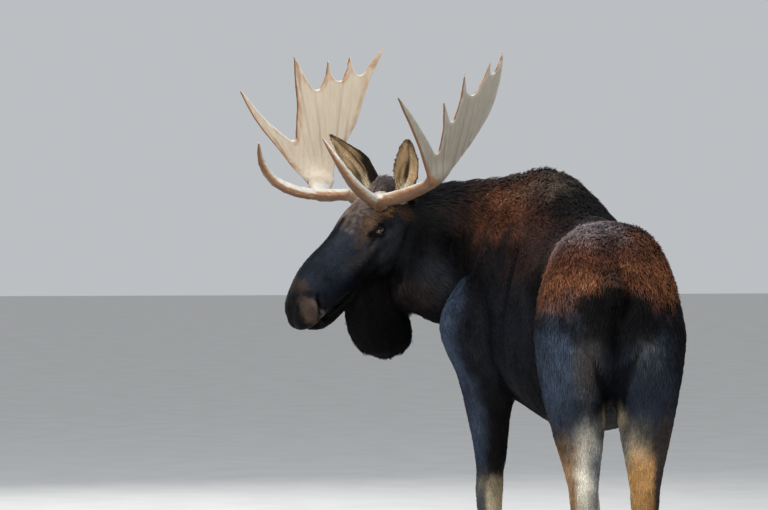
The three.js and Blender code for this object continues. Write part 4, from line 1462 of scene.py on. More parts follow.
    def lids(self, skin: Obj, side: int) -> None:
        """Draws the skin over one eyeball as an upper and a lower lid round an almond opening.

        Args:
            skin: The skin.
            side: 1 for the left one, -1 for the right one.
        """
        sheet = Sheet(skin)
        eye = self.head.eye("left" if side > 0 else "right")
        face = self.head.face(sheet.spots) - self.head.face(eye[None])
        face[:, 1] *= side
        reach = np.linalg.norm(face, axis=1)
        near = (reach < self.lid_reach) & (face[:, 1] > self.lid_side)
        across, height = face[near, 0], face[near, 2]
        tilt = math.radians(self.lid_tilt)
        ahead = math.cos(tilt) * across + math.sin(tilt) * height - self.lid_ahead
        slant = math.cos(tilt) * height - math.sin(tilt) * across
        outside = np.hypot(ahead / self.lid_length, slant / self.lid_gap)
        rim = self.eye_radius + self.lid_thick
        shell = np.sqrt(np.clip(rim**2 - across**2 - height**2, 0, None))
        flat = np.hypot(across, height)
        start, full = self.lid_cover
        cover = ramp(flat, self.lid_reach * start, self.eye_radius * full)
        inner = self.eye_radius - self.under_eye
        inside = np.sqrt(np.clip(inner**2 - across**2 - height**2, 0, None))
        target = np.where(outside < 1.0, inside, np.maximum(shell, face[near, 1] * self.lid_sunk))
        middle, width = self.lid_roll_at
        roll = self.lid_roll * np.exp(-(((outside - middle) / width) ** 2))
        out = face[near, 1] * (1 - cover) + (target + roll) * cover
        moved = sheet.spots.copy()
        local = self.head.face(sheet.spots)
        local[near, 1] = side * out + self.head.face(eye[None])[0, 1]
        moved[near] = self.head.placed(local[near])
        write_spots(skin, moved)


# ---- tufts -------------------------------------------------------------------------------------------

# Corners of a tuft's triangles: vertices 0 to 2 are its foot, 3 to 5 its bend and 6 its tip.
SPIKE_FACES = (
    (0, 2, 1), (0, 1, 4), (0, 4, 3), (1, 2, 5), (1, 5, 4),
    (2, 0, 3), (2, 3, 5), (3, 4, 6), (4, 5, 6), (5, 3, 6),
)
# The same seven vertices on a tuft's patch of the unwrap, as shares of the patch.
SPIKE_CHART = ((0, 0), (1, 0), (0.5, 0.2), (0.1, 0.6), (0.9, 0.6), (0.5, 0.7), (0.5, 1.0))


@dataclass
class Tufts:
    """Locks of hair grown on a part of the skin: thin closed spikes with one bend each."""

    name: str
    seed: int
    clump: float = 0.35
    to_leader: float = 0.35  # the furthest that a tip is drawn, as a share of the hair's length
    lengths: Pair = (0.72, 1.18)
    widths: Pair = (0.8, 1.25)
    lifts: Pair = (0.6, 1.4)
    shades: Pair = (0.72, 1.30)
    bedded: float = 0.0015  # how deep a root sits in the skin
    bend: Pair = (0.52, 0.62)  # where the bend is, as shares of the length and of the tip's height

    def grow(self, coat: Coat, colours: Array, chosen: Array, count: int, chart: Array) -> Obj:
        """Makes one coat piece.

        Args:
            coat: The coat over the skin.
            colours: The hair's colour at each skin vertex.
            chosen: Numbers of the skin triangles that the piece grows on.
            count: How many tufts it has.
            chart: Place of each skin vertex on the piece's own unwrap.

        Returns:
            The piece, at the origin.
        """
        rng = np.random.default_rng(self.seed)
        sheet = coat.sheet
        tris = sheet.tris[chosen]
        corners = sheet.spots[tris]
        area = np.linalg.norm(np.cross(corners[:, 1] - corners[:, 0], corners[:, 2] - corners[:, 0]), axis=1) / 2
        weight = np.cumsum(area * coat.rows[tris, 4].mean(1))
        picks = (np.arange(count) + rng.random(count)) / count * weight[-1]
        tri = tris[np.searchsorted(weight, picks).clip(0, len(tris) - 1)]
        first, second = rng.random(count), rng.random(count)
        over = first + second > 1
        first[over], second[over] = 1 - first[over], 1 - second[over]
        share = np.column_stack([1 - first - second, first, second])

        def at(values: Array) -> Array:
            """Values of the skin's vertices at the roots."""
            rows = values[tri]
            return (rows * share.reshape(share.shape + (1,) * (rows.ndim - 2))).sum(1)

        root, normal = at(sheet.spots), unit(at(sheet.normals))
        rows, lie = at(coat.rows), at(coat.lie)
        length, width, lift, curl = rows[:, 0], rows[:, 1], rows[:, 2], rows[:, 3]
        length = length * rng.uniform(*self.lengths, count)
        width = width * rng.uniform(*self.widths, count)
        lie = unit(lie - dot(lie, normal)[:, None] * normal)
        side = np.cross(normal, lie)
        lean = curl * (0.8 * rng.normal(size=count) + 0.9 * swirl(root, 0.035, self.seed + 1))
        lie = unit(lie + side * lean[:, None])
        side = np.cross(normal, lie)
        lift = lift * rng.uniform(*self.lifts, count) + 0.25 * curl * swirl(root, 0.020, self.seed + 2)
        lift = np.clip(lift, 0.05, 0.9)
        foot = root - normal * self.bedded
        middle = root + lie * (self.bend[0] * length)[:, None] + normal * (self.bend[1] * length * lift)[:, None]
        droop = 1.0 - 0.35 * (1.0 - curl)
        tip = root + lie * length[:, None] + normal * (length * lift * droop)[:, None]
        tip = np.clip(self.clumped(root, tip, length, curl), *(np.array(corner) for corner in CAD_BOX))
        piece = self.mesh(self.rings(foot, middle, tip, side, normal, width))
        base = at(colours) * rng.uniform(*self.shades, count)[:, None]
        self.paint(piece, base, at(coat.fuzz()), rng)
        self.unwrap(piece, at(chart))
        self.soften(piece, normal)
        return piece

    def clumped(self, root: Array, tip: Array, length: Array, curl: Array) -> Array:
        """Draws the tips of neighbouring tufts together into locks.

        Args:
            root: Roots of the tufts.
            tip: Their tips.
            length: Their lengths.
            curl: How curly they are.

        Returns:
            The moved tips.
        """
        count = len(root)
        leaders = np.random.default_rng(self.seed + 5).permutation(count)[: max(1, count // 7)]
        tree = KDTree(len(leaders))
        for place, leader in enumerate(leaders):
            tree.insert(root[leader], place)
        tree.balance()
        chief = leaders[np.array([tree.find(spot)[1] for spot in root])]
        pull = (tip[chief] - tip) * (self.clump * (0.5 + curl))[:, None]
        far = np.linalg.norm(pull, axis=1, keepdims=True)
        return tip + pull * np.minimum(1.0, self.to_leader * length[:, None] / np.maximum(far, 1e-9))

    @staticmethod
    def rings(foot: Array, middle: Array, tip: Array, side: Array, normal: Array, width: Array) -> Array:
        """The seven vertices of each tuft: two triangles round the stem and the tip.

        Args:
            foot: Where each tuft starts.
            middle: Where it bends.
            tip: Where it ends.
            side: Unit vectors across it.
            normal: The skin's normals there.
            width: Its width.

        Returns:
            Seven places for each tuft.
        """
        half = (width / 2)[:, None]
        points = [
            foot - side * half,
            foot + side * half,
            foot + normal * half * 1.1,
            middle - side * half * 0.72,
            middle + side * half * 0.72,
            middle + normal * half * 0.8,
            tip,
        ]
        return np.stack(points, axis=1)

    def mesh(self, rings: Array) -> Obj:
        """Builds the closed spikes.

        Args:
            rings: Seven places for each tuft.

        Returns:
            The piece.
        """
        count, points = rings.shape[:2]
        faces = (np.array(SPIKE_FACES)[None] + points * np.arange(count)[:, None, None]).reshape(-1, 3)
        mesh = bpy.data.meshes.new(self.name)
        mesh.vertices.add(count * points)
        mesh.vertices.foreach_set("co", rings.ravel())
        mesh.loops.add(len(faces) * 3)
        mesh.loops.foreach_set("vertex_index", faces.ravel().astype(np.int32))
        mesh.polygons.add(len(faces))
        mesh.polygons.foreach_set("loop_start", np.arange(0, len(faces) * 3, 3, dtype=np.int32))
        mesh.polygons.foreach_set("use_smooth", np.ones(len(faces), dtype=bool))
        mesh.update(calc_edges=True)
        piece = bpy.data.objects.new(self.name, mesh)
        bpy.context.collection.objects.link(piece)
        return piece

    @staticmethod
    def paint(piece: Obj, base: Array, fuzz: Array, rng: np.random.Generator) -> None:
        """Colours each tuft from a dark root to its tip, paler where the coat is grizzled.

        Args:
            piece: The coat piece.
            base: Colour of each tuft.
            fuzz: How woolly the coat is there.
            rng: The piece's random numbers.
        """
        count = len(base)
        streak = rng.random(count)
        bright = 1.0 + fuzz * (1.6 * (streak > 0.55) - 0.55 * (streak < 0.3)) + 0.25 * (streak > 0.85)
        root = base * 0.45
        middle = base * 0.9
        tip = np.minimum(base * (bright * 1.25)[:, None], 0.8)
        rows = np.stack([root] * 3 + [middle] * 3 + [tip], axis=1).reshape(-1, 3)
        write_colours(piece.data, "hair_colour", rows)

    @staticmethod
    def unwrap(piece: Obj, chart: Array, patch: float = 0.003) -> None:
        """Lays each tuft as a small patch at its root's place on the chart.

        Args:
            piece: The coat piece.
            chart: Place of each root on the chart.
            patch: Size of a tuft's patch.
        """
        shape = np.array(SPIKE_CHART) * patch
        spots = (np.clip(chart, 0.001, 0.996)[:, None] + shape[None]).reshape(-1, 2)
        mesh = piece.data
        corner = fetched(mesh.loops, "vertex_index", 1, np.int32)[:, 0]
        layer = mesh.uv_layers.new(name="OFBake", do_init=False)
        layer.uv.foreach_set("vector", spots[corner].astype(np.float32).ravel())

    @staticmethod
    def soften(piece: Obj, normal: Array) -> None:
        """Leans the shading of each tuft towards that of the skin, so that the coat reads as one surface.

        Args:
            piece: The coat piece.
            normal: The skin's normal at each root.
        """
        mesh = piece.data
        own = fetched(mesh.vertices, "normal", 3)
        skins = np.repeat(normal, len(SPIKE_CHART), axis=0)
        mesh.normals_split_custom_set_from_vertices(unit(0.75 * skins + 0.45 * own))


# ---- finishes ----------------------------------------------------------------------------------------


class Nodes:
    """A material's node tree, with short ways to add and join nodes."""

    def __init__(self, tree: bpy.types.NodeTree) -> None:
        """Keeps the tree."""
        self.tree = tree

    def add(self, kind: str, **settings: object) -> bpy.types.Node:
        """Adds a node.

        Args:
            kind: The node's type name.
            settings: Properties to set on it.

        Returns:
            The node.
        """
        node = self.tree.nodes.new(kind)
        for key, value in settings.items():
            setattr(node, key, value)
        return node

    def join(self, source: Socket, target: Socket) -> None:
        """Joins two sockets."""
        self.tree.links.new(source, target)

    def noise(self, where: Socket, scale: float, detail: float = 3.0) -> Socket:
        """A noise's factor.

        Args:
            where: Coordinates.
            scale: How fine it is.
            detail: How many layers it has.

        Returns:
            The factor's socket.
        """
        node = self.add("ShaderNodeTexNoise")
        node.inputs["Scale"].default_value = scale
        node.inputs["Detail"].default_value = detail
        self.join(where, node.inputs["Vector"])
        return node.outputs["Fac"]

    def stretched(self, where: Socket, scale: Triple, turn: Triple = (0, 0, 0)) -> Socket:
        """Coordinates turned and stretched.

        Args:
            where: Coordinates.
            scale: Scale along x, y and z.
            turn: Turn about x, y and z.

        Returns:
            The new coordinates.
        """
        node = self.add("ShaderNodeMapping")
        node.inputs["Rotation"].default_value = turn
        node.inputs["Scale"].default_value = scale
        self.join(where, node.inputs["Vector"])
        return node.outputs["Vector"]

    def mapped(self, value: Socket, span: Pair, to: Pair) -> Socket:
        """A value carried smoothly from one span to another.

        Args:
            value: The value.
            span: Where it starts and ends.
            to: What it becomes there.

        Returns:
            The new value.
        """
        node = self.add("ShaderNodeMapRange", interpolation_type="SMOOTHSTEP")
        node.inputs["From Min"].default_value, node.inputs["From Max"].default_value = span
        node.inputs["To Min"].default_value, node.inputs["To Max"].default_value = to
        self.join(value, node.inputs["Value"])
        return node.outputs["Result"]

    def mix(
        self,
        share: Socket | float,
        first: Socket | Triple,
        second: Socket | Triple,
    ) -> Socket:
        """Two colours mixed.

        Args:
            share: How much of the second.
            first: A colour.
            second: Another colour.

        Returns:
            The mixed colour.
        """
        node = self.add("ShaderNodeMix", data_type="RGBA")
        for socket, given in ((node.inputs[0], share), (node.inputs[6], first), (node.inputs[7], second)):
            if isinstance(given, Socket):
                self.join(given, socket)
            elif isinstance(given, float):
                socket.default_value = given
            else:
                socket.default_value = (*given, 1.0)
        return node.outputs[2]

    def bump(self, height: Socket, strength: float, distance: float) -> Socket:
        """A bumped normal.

        Args:
            height: The height.
            strength: How strong it is, from 0 to 1.
            distance: Its full height in metres.

        Returns:
            The normal.
        """
        node = self.add("ShaderNodeBump")
        node.inputs["Strength"].default_value = strength
        node.inputs["Distance"].default_value = distance
        self.join(height, node.inputs["Height"])
        return node.outputs["Normal"]


def new_material(name: str) -> tuple[Material, Nodes, bpy.types.Node]:
    """Starts a material.

    Args:
        name: Its name.

    Returns:
        The material, its nodes and its Principled BSDF.
    """
    material = bpy.data.materials.new(name)
    material.use_nodes = True
    return material, Nodes(material.node_tree), material.node_tree.nodes["Principled BSDF"]


def hair_group() -> bpy.types.NodeTree:
    """The node group that breaks a hair colour up, for the skin and every coat piece alike.

    Returns:
        The group: Colour in, Colour and Height out.
    """
    group = bpy.data.node_groups.new("hair_variation", "ShaderNodeTree")
    group.interface.new_socket("Colour", in_out="INPUT", socket_type="NodeSocketColor")
    group.interface.new_socket("Colour", in_out="OUTPUT", socket_type="NodeSocketColor")
    group.interface.new_socket("Height", in_out="OUTPUT", socket_type="NodeSocketFloat")
    nodes = Nodes(group)
    given = nodes.add("NodeGroupInput").outputs["Colour"]
    out = nodes.add("NodeGroupOutput")
    where = nodes.add("ShaderNodeTexCoord").outputs["Object"]
    broad = nodes.mapped(nodes.noise(where, 9.0, 3.0), (0.35, 0.68), (0.78, 1.22))
    fine = nodes.mapped(nodes.noise(where, 240.0, 2.0), (0.3, 0.7), (0.72, 1.28))
    total = nodes.add("ShaderNodeMath", operation="MULTIPLY")
    nodes.join(broad, total.inputs[0])
    nodes.join(fine, total.inputs[1])
    tint = nodes.add("ShaderNodeVectorMath", operation="SCALE")
    nodes.join(given, tint.inputs["Vector"])
    nodes.join(total.outputs[0], tint.inputs["Scale"])
    nodes.join(tint.outputs["Vector"], out.inputs["Colour"])
    nodes.join(nodes.noise(nodes.stretched(where, (1.0, 1.0, 0.35)), 420.0, 2.0), out.inputs["Height"])
    return group


@dataclass(frozen=True)
class HairFinish:
    """Hair or skin in the animal's markings."""

    name: str
    roughness: float = 0.5
    specular: float = 0.045
    sheen: float = 0.008
    sheen_tint: Triple = (0.55, 0.68, 1.0)
    bump: float = 0.25

    def make(self, group: bpy.types.NodeTree) -> Material:
        """Builds the material round the shared hair group.

        Args:
            group: What hair_group made.

        Returns:
            The material.
        """
        material, nodes, shader = new_material(self.name)
        colour = nodes.add("ShaderNodeAttribute", attribute_name="hair_colour").outputs["Color"]
        varied = nodes.add("ShaderNodeGroup", node_tree=group)
        nodes.join(colour, varied.inputs["Colour"])
        nodes.join(varied.outputs["Colour"], shader.inputs["Base Color"])
        nodes.join(nodes.bump(varied.outputs["Height"], self.bump, 0.002), shader.inputs["Normal"])
        shader.inputs["Roughness"].default_value = self.roughness
        shader.inputs["Specular IOR Level"].default_value = self.specular
        shader.inputs["Sheen Weight"].default_value = self.sheen
        shader.inputs["Sheen Roughness"].default_value = 0.45
        shader.inputs["Sheen Tint"].default_value = (*self.sheen_tint, 1.0)
        return material


@dataclass(frozen=True)
class AntlerFinish:
    """Weathered antler: its painted colours, streaked along its growth."""

    name: str = "antler"
    streak: Triple = (0.20, 0.145, 0.095)
    worn: Triple = (0.78, 0.72, 0.62)

    def make(self) -> Material:
        """Builds the material.

        Returns:
            The material.
        """
        material, nodes, shader = new_material(self.name)
        where = nodes.add("ShaderNodeTexCoord").outputs["Object"]
        base = nodes.add("ShaderNodeAttribute", attribute_name="antler_colour").outputs["Color"]
        grain = nodes.noise(nodes.stretched(where, (1.0, 1.0, 0.12)), 90.0, 5.0)
        fine = nodes.noise(nodes.stretched(where, (1.0, 1.0, 0.3)), 260.0, 4.0)
        shade = nodes.mix(nodes.mapped(grain, (0.35, 0.65), (0.0, 0.55)), base, self.streak)
        shade = nodes.mix(nodes.mapped(fine, (0.5, 0.75), (0.0, 0.15)), shade, self.worn)
        shade = nodes.mix(0.7, shade, base)
        nodes.join(shade, shader.inputs["Base Color"])
        nodes.join(nodes.mapped(grain, (0.3, 0.7), (0.50, 0.72)), shader.inputs["Roughness"])
        nodes.join(nodes.bump(fine, 0.35, 0.0015), shader.inputs["Normal"])
        shader.inputs["Specular IOR Level"].default_value = 0.4
        return material


@dataclass(frozen=True)
class HoofFinish:
    """Dark horn with fine growth rings."""

    name: str = "hoof"
    dark: Triple = (0.018, 0.014, 0.012)
    pale: Triple = (0.075, 0.060, 0.048)
    dust: Triple = (0.16, 0.13, 0.10)

    def make(self) -> Material:
        """Builds the material.

        Returns:
            The material.
        """
        material, nodes, shader = new_material(self.name)
        where = nodes.add("ShaderNodeTexCoord").outputs["Object"]
        rings = nodes.noise(nodes.stretched(where, (0.15, 0.15, 1.0)), 190.0, 3.0)
        shade = nodes.mix(nodes.mapped(rings, (0.35, 0.7), (0.0, 1.0)), self.dark, self.pale)
        dust = nodes.mapped(nodes.noise(where, 40.0, 4.0), (0.45, 0.75), (0.0, 0.4))
        nodes.join(nodes.mix(dust, shade, self.dust), shader.inputs["Base Color"])
        nodes.join(nodes.mapped(rings, (0.3, 0.7), (0.38, 0.62)), shader.inputs["Roughness"])
        nodes.join(nodes.bump(rings, 0.4, 0.0012), shader.inputs["Normal"])
        return material


@dataclass(frozen=True)
class EyeFinish:
    """A dark brown, wet eye with a level pupil."""

    name: str = "eye"

    def make(self) -> Material:
        """Builds the material.

        Returns:
            The material.
        """
        material, nodes, shader = new_material(self.name)
        base = nodes.add("ShaderNodeAttribute", attribute_name="eye_colour").outputs["Color"]
        where = nodes.add("ShaderNodeTexCoord").outputs["Object"]
        fibre = nodes.mapped(nodes.noise(where, 900.0, 2.0), (0.3, 0.7), (0.8, 1.2))
        tint = nodes.add("ShaderNodeVectorMath", operation="SCALE")
        nodes.join(base, tint.inputs["Vector"])
        nodes.join(fibre, tint.inputs["Scale"])
        nodes.join(tint.outputs["Vector"], shader.inputs["Base Color"])
        shader.inputs["Roughness"].default_value = 0.10
        shader.inputs["Specular IOR Level"].default_value = 0.5
        shader.inputs["Coat Weight"].default_value = 0.5
        shader.inputs["Coat Roughness"].default_value = 0.03
        return material


# ---- pieces ------------------------------------------------------------------------------------------


@dataclass(frozen=True)
class AntlerForm:
    """What differs between the two antlers, in metres ahead, outwards and up from the brow."""

    foot: Triple  # where the beam runs into the palm
    foot_reach: float  # how far from there the joint is rounded off
    foot_rise: float  # how far it is filled up again
    widened: bool  # whether the beam's outer end is widened, and a rib of the palm left unpainted
    palm_low: float  # height at which the palm starts
    joint: Pair  # distance outwards and height at which the palm's colour starts on the joint
    blade: Triple  # the palm's colour, darker on the left one as painted shade


ANTLER_FORMS = {
    # the left palm's colour is darker: painted shade for its outer face, turned from the light
    "left": AntlerForm((-0.024, 0.470, 0.112), 0.070, 0.009, False, 0.14, (0.42, 0.060), (0.36, 0.325, 0.260)),
    "right": AntlerForm((-0.018, 0.430, 0.034), 0.0875, 0.0045, True, 0.07, (0.26, 0.008), (0.44, 0.36, 0.26)),
}


@dataclass
class Antler:
    """One antler, fused from its nodes, with its burr, grooves and bone edges, partly painted highlight."""

    side: str
    head: HeadFrame
    voxel: float = 0.0038
    swell: float = 0.0006
    fillet: float = 0.011
    groove: float = 0.0011
    pearl: float = 0.004
    burr: Pair = (0.088, 0.012)  # its distance outwards and its width
    burr_height: float = 0.08
    fan_root: Pair = (-0.06, -0.15)  # where the palm's streaks meet, ahead of and above the brow
    palm_up: Pair = (0.06, 0.16)  # heights, and distances outwards, between which the palm's streaks set in
    palm_out: Pair = (0.34, 0.42)
    blade_rise: float = 0.07  # heights, distances outwards and facing over which the flat blade sets in
    blade_out: Pair = (0.36, 0.42)
    blade_facing: Pair = (0.40, 0.70)
    sharp: Pair = (0.0006, 0.0024)  # how far edges, and thin tines, stand out of their evened shape
    thin: Pair = (0.0008, 0.0015)
    fill_rounds: int = 300
    flatness: float = 0.85
    beam_line: tuple[Pair, ...] = ((0.20, 0.10), (0.29, 0.068), (0.45, -0.02))  # outwards to ahead
    beige: Triple = (0.42, 0.35, 0.26)
    # orange and brown where the antler faces ahead and down, bone where it faces up: partly stain and polish,
    # partly painted bounce light, shade and highlight
    orange_bounce_and_stain: Triple = (0.27, 0.108, 0.028)
    brown: Triple = (0.09, 0.034, 0.012)
    bone: Triple = (0.50, 0.47, 0.41)
    groove_brown: Triple = (0.15, 0.095, 0.055)
    burr_brown: Triple = (0.13, 0.080, 0.045)

    @property
    def form(self) -> AntlerForm:
        """What is this antler's own."""
        return ANTLER_FORMS[self.side]

    def nodes(self) -> list[str]:
        """Names of the antler's CAD nodes."""
        return [f"antler_{self.side}_{part}" for part in ("beam", "brow_lower", "brow_upper", "palm")]

    def build(self, finish: Material) -> Obj:
        """Builds the antler.

        Args:
            finish: The antler's material.

        Returns:
            The finished piece.
        """
        antler = copy_of(self.nodes(), f"antler_{self.side}", self.swell)
        remeshed(antler, self.voxel)
        self.offset(antler, self.fillet)
        remeshed(antler, self.voxel)
        self.offset(antler, -self.fillet)
        sheet = Sheet(antler)
        write_spots(antler, sheet.even(sheet.spots, 12, 0.9))
        self.blend_foot(antler)
        self.flatten(antler)
        relief, palm = self.engrave(antler)
        self.paint(antler, relief, palm)
        for polygon in antler.data.polygons:
            polygon.use_smooth = True
        antler.data.materials.append(finish)
        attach(antler, "root")
        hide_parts(*self.nodes())
        return antler

    def local(self, spots: Array) -> Array:
        """Places ahead, outwards and up from the brow.

        Args:
            spots: Places in the row frame.

        Returns:
            The same places.
        """
        local = self.head.antler(spots)
        local[:, 1] *= SIDES[self.side]
        return local

    def engrave(self, antler: Obj) -> tuple[Array, Array]:
        """Cuts the grooves that follow the antler's growth, and raises the pearls of the burr.

        Args:
            antler: The antler.

        Returns:
            The grooves' pattern, and how far each vertex is on the palm.
        """
        sheet = Sheet(antler)
        ahead, off, up = self.local(sheet.spots).T
        palm = ramp(up, *self.palm_up) * ramp(off, *self.palm_out)
        fan = np.arctan2(ahead - self.fan_root[0], up - self.fan_root[1])
        streaks = swirl(np.column_stack([fan * 70.0, up * 3.0, off * 0]), 1.0, 21)
        along_beam = swirl(np.column_stack([up * 90, off * 6, ahead * 90]), 1.0, 22)
        relief = palm * streaks + (1 - palm) * along_beam
        pearls = swirl(sheet.spots, 0.010, 23)
        burr = np.exp(-(((off - self.burr[0]) / self.burr[1]) ** 2)) * (np.abs(up) < self.burr_height)
        rise = -self.groove * np.maximum(relief, -0.3) + burr * (self.pearl + self.pearl * pearls)
        write_spots(antler, sheet.spots + sheet.normals * rise[:, None])
        return relief, palm

    def blend_foot(self, antler: Obj) -> None:
        """Rounds off the step where the beam runs into the palm.

        Args:
            antler: The antler.
        """
        sheet = Sheet(antler)
        if self.form.widened:
            self.widen_foot(sheet)
        gap = self.local(sheet.spots) - np.array(self.form.foot)
        share = np.exp(-((np.linalg.norm(gap, axis=1) / self.form.foot_reach) ** 2))
        write_spots(antler, sheet.diffuse(sheet.spots, self.fill_rounds, share))
        sheet = Sheet(antler)
        write_spots(antler, sheet.spots + sheet.normals * (self.form.foot_rise * share)[:, None])

    def widen_foot(self, sheet: Sheet) -> None:
        """Widens the outer end of the beam so that it meets the palm as one blade.

        Args:
            sheet: The antler's mesh, which is changed.
        """
        ahead, off, _ = self.local(sheet.spots).T
        gap = ahead - np.interp(off, *zip(*self.beam_line))
        share = ramp(off, 0.17, 0.27) * ramp(off, 0.50, 0.43) * ramp(np.abs(gap), 0.075, 0.040)
        shift = share * (1.3 * np.clip(gap, -0.03, 0.0) + 0.3 * np.clip(gap, 0.0, 0.02))
        sheet.spots = sheet.spots + self.head.upright[:, 0] * shift[:, None]

    def flatten(self, antler: Obj) -> None:
        """Makes the palm's two faces an evenly thick, gently curved blade inside its rim.

        Args:
            antler: The antler.
        """
        sheet = Sheet(antler)
        local = self.local(sheet.spots)
        ahead, off, up = local.T
        across = (sheet.diffuse(sheet.normals, 40) @ self.head.upright)[:, 1] * SIDES[self.side]
        low = self.form.palm_low
        palm = ramp(up, low, low + self.blade_rise) * ramp(off, *self.blade_out)
        palm = palm * ramp(np.abs(across), *self.blade_facing)
        evened = sheet.diffuse(off, self.fill_rounds, palm)
        terms = np.column_stack([np.ones(len(off)), ahead, up, ahead**2, ahead * up, up**2])
        blade = palm > 0.9
        bend = terms @ np.linalg.lstsq(terms[blade], evened[blade], rcond=None)[0]
        half = np.abs(evened - bend)[blade].mean()
        share = self.flatness * sheet.diffuse(palm, 10)
        local[:, 1] = evened + share * (bend + np.sign(across) * half - evened)
        local[:, 1] *= SIDES[self.side]
        write_spots(antler, local @ self.head.upright.T + self.head.brow)

    @staticmethod
    def offset(antler: Obj, distance: float) -> None:
        """Moves the surface out, or in by a negative distance, which rounds the valleys between tines.

        Args:
            antler: The antler.
            distance: How far it moves.
        """
        sheet = Sheet(antler)
        normals = unit(sheet.diffuse(sheet.normals, 2))
        write_spots(antler, sheet.spots + normals * distance)

    def paint(self, antler: Obj, relief: Array, palm: Array) -> None:
        """Colours the antler: grey-beige blades, orange and brown where it faces ahead and down, bone-pale above;
        partly stain and polish, partly painted bounce light, shade and highlight.

        Args:
            antler: The antler.
            relief: The grooves' pattern.
            palm: How far each vertex is on the palm.
        """
        sheet = Sheet(antler)
        facing = sheet.normals @ self.head.upright
        # the tone sets where the antler faces ahead and down, for stain with painted warm bounce light and shade,
        # and where it faces up, for polish with painted highlight
        light_and_stain_tone = 0.75 * facing[:, 0] - 0.65 * facing[:, 2] + 0.10 * swirl(sheet.spots, 0.025, 31)
        curve = sheet.diffuse(sheet.spots, 10) - sheet.spots
        sharp = ramp(-dot(curve, sheet.normals), *self.sharp)
        ahead, off, up = self.local(sheet.spots).T
        bent = np.linalg.norm(sheet.diffuse(sheet.spots, 60) - sheet.spots, axis=1)
        thin = ramp(sheet.diffuse(bent, 30), *self.thin)
        if self.form.widened:
            rib = ramp(np.abs(ahead + 0.065), 0.075, 0.045) * ramp(up, 0.42, 0.36)
            thin *= 1 - rib * ramp(off, 0.36, 0.40)
        out, low = self.form.joint
        foot = ramp(off, out, out + 0.06) * ramp(up, low, low + 0.03)
        palm = np.maximum(palm, foot)
        edge = np.maximum(np.maximum(1 - palm, sharp), thin * (1 - foot * ramp(up, 0.10, 0.06)))
        shade = np.tile(np.array(self.form.blade), (len(sheet.spots), 1))
        for colour, share in (
            (self.beige, 0.7 * (1 - palm)),
            (self.orange_bounce_and_stain, 0.88 * edge * ramp(light_and_stain_tone, -0.10, 0.34)),
            (self.brown, 0.85 * edge * ramp(light_and_stain_tone, 0.34, 0.68)),
            (self.bone, 0.9 * edge * ramp(light_and_stain_tone, 0.12, -0.32)),
            (self.groove_brown, 0.40 * ramp(relief, 0.25, 0.9)),
            (self.burr_brown, 0.5 * ramp(np.abs(off), 0.13, 0.09)),
        ):
            shade = mixed(shade, np.array(colour), share)
        write_colours(antler.data, "antler_colour", shade)


@dataclass
class Eye:
    """One eyeball with its iris and level pupil."""

    side: str
    head: HeadFrame
    radius: float = 0.0198
    iris: float = 0.0150
    pupil: Pair = (0.0095, 0.0060)
    gaze: Triple = (0.30, 1.0, 0.08)  # down the face, outwards and out of the brow
    level: Triple = (1.0, 0.0, 0.84)  # the pupil's long way
    bulge: float = 0.0013
    white: Triple = (0.055, 0.036, 0.028)
    iris_inner: Triple = (0.040, 0.017, 0.008)
    iris_outer: Triple = (0.014, 0.007, 0.005)
    black: Triple = (0.002, 0.002, 0.002)

    def build(self, finish: Material) -> Obj:
        """Builds the eyeball.

        Args:
            finish: The eye's material.

        Returns:
            The finished piece.
        """
        middle = self.head.eye(self.side)
        bpy.ops.object.select_all(action="DESELECT")
        bpy.ops.mesh.primitive_uv_sphere_add(segments=64, ring_count=48, radius=self.radius, location=(0, 0, 0))
        ball = bpy.context.active_object
        ball.name = f"eyeball_{self.side}"
        sheet = Sheet(ball)
        look = unit(np.array(self.gaze) * (1, SIDES[self.side], 1))
        line = np.array(self.level)
        forward = unit(line - dot(look, line) * look)
        above = np.cross(look, forward)
        out, level, rise = sheet.spots @ look, sheet.spots @ forward, sheet.spots @ above
        wide = np.hypot(level, rise)
        bulge = self.bulge * ramp(wide, self.iris * 1.1, 0.0) * (out > 0)
        iris = ramp(wide, self.iris * 1.08, self.iris * 0.95) * (out > 0)
        inner = np.tile(np.array(self.iris_inner), (len(out), 1))
        ring = mixed(inner, np.array(self.iris_outer), ramp(wide, self.iris * 0.65, self.iris))
        colours = mixed(np.tile(np.array(self.white), (len(out), 1)), ring, iris)
        hole = ramp(np.hypot(level / self.pupil[0], rise / self.pupil[1]), 1.1, 0.9) * (out > 0)
        colours = mixed(colours, np.array(self.black), hole)
        spots = (sheet.spots + unit(sheet.spots) * bulge[:, None]) @ self.head.axes.T + middle
        write_spots(ball, spots)
        write_colours(ball.data, "eye_colour", colours)
        bpy.ops.object.shade_smooth()
        ball.data.materials.clear()
        ball.data.materials.append(finish)
        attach(ball, "root")
        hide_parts(f"eye_{self.side}")
        return ball


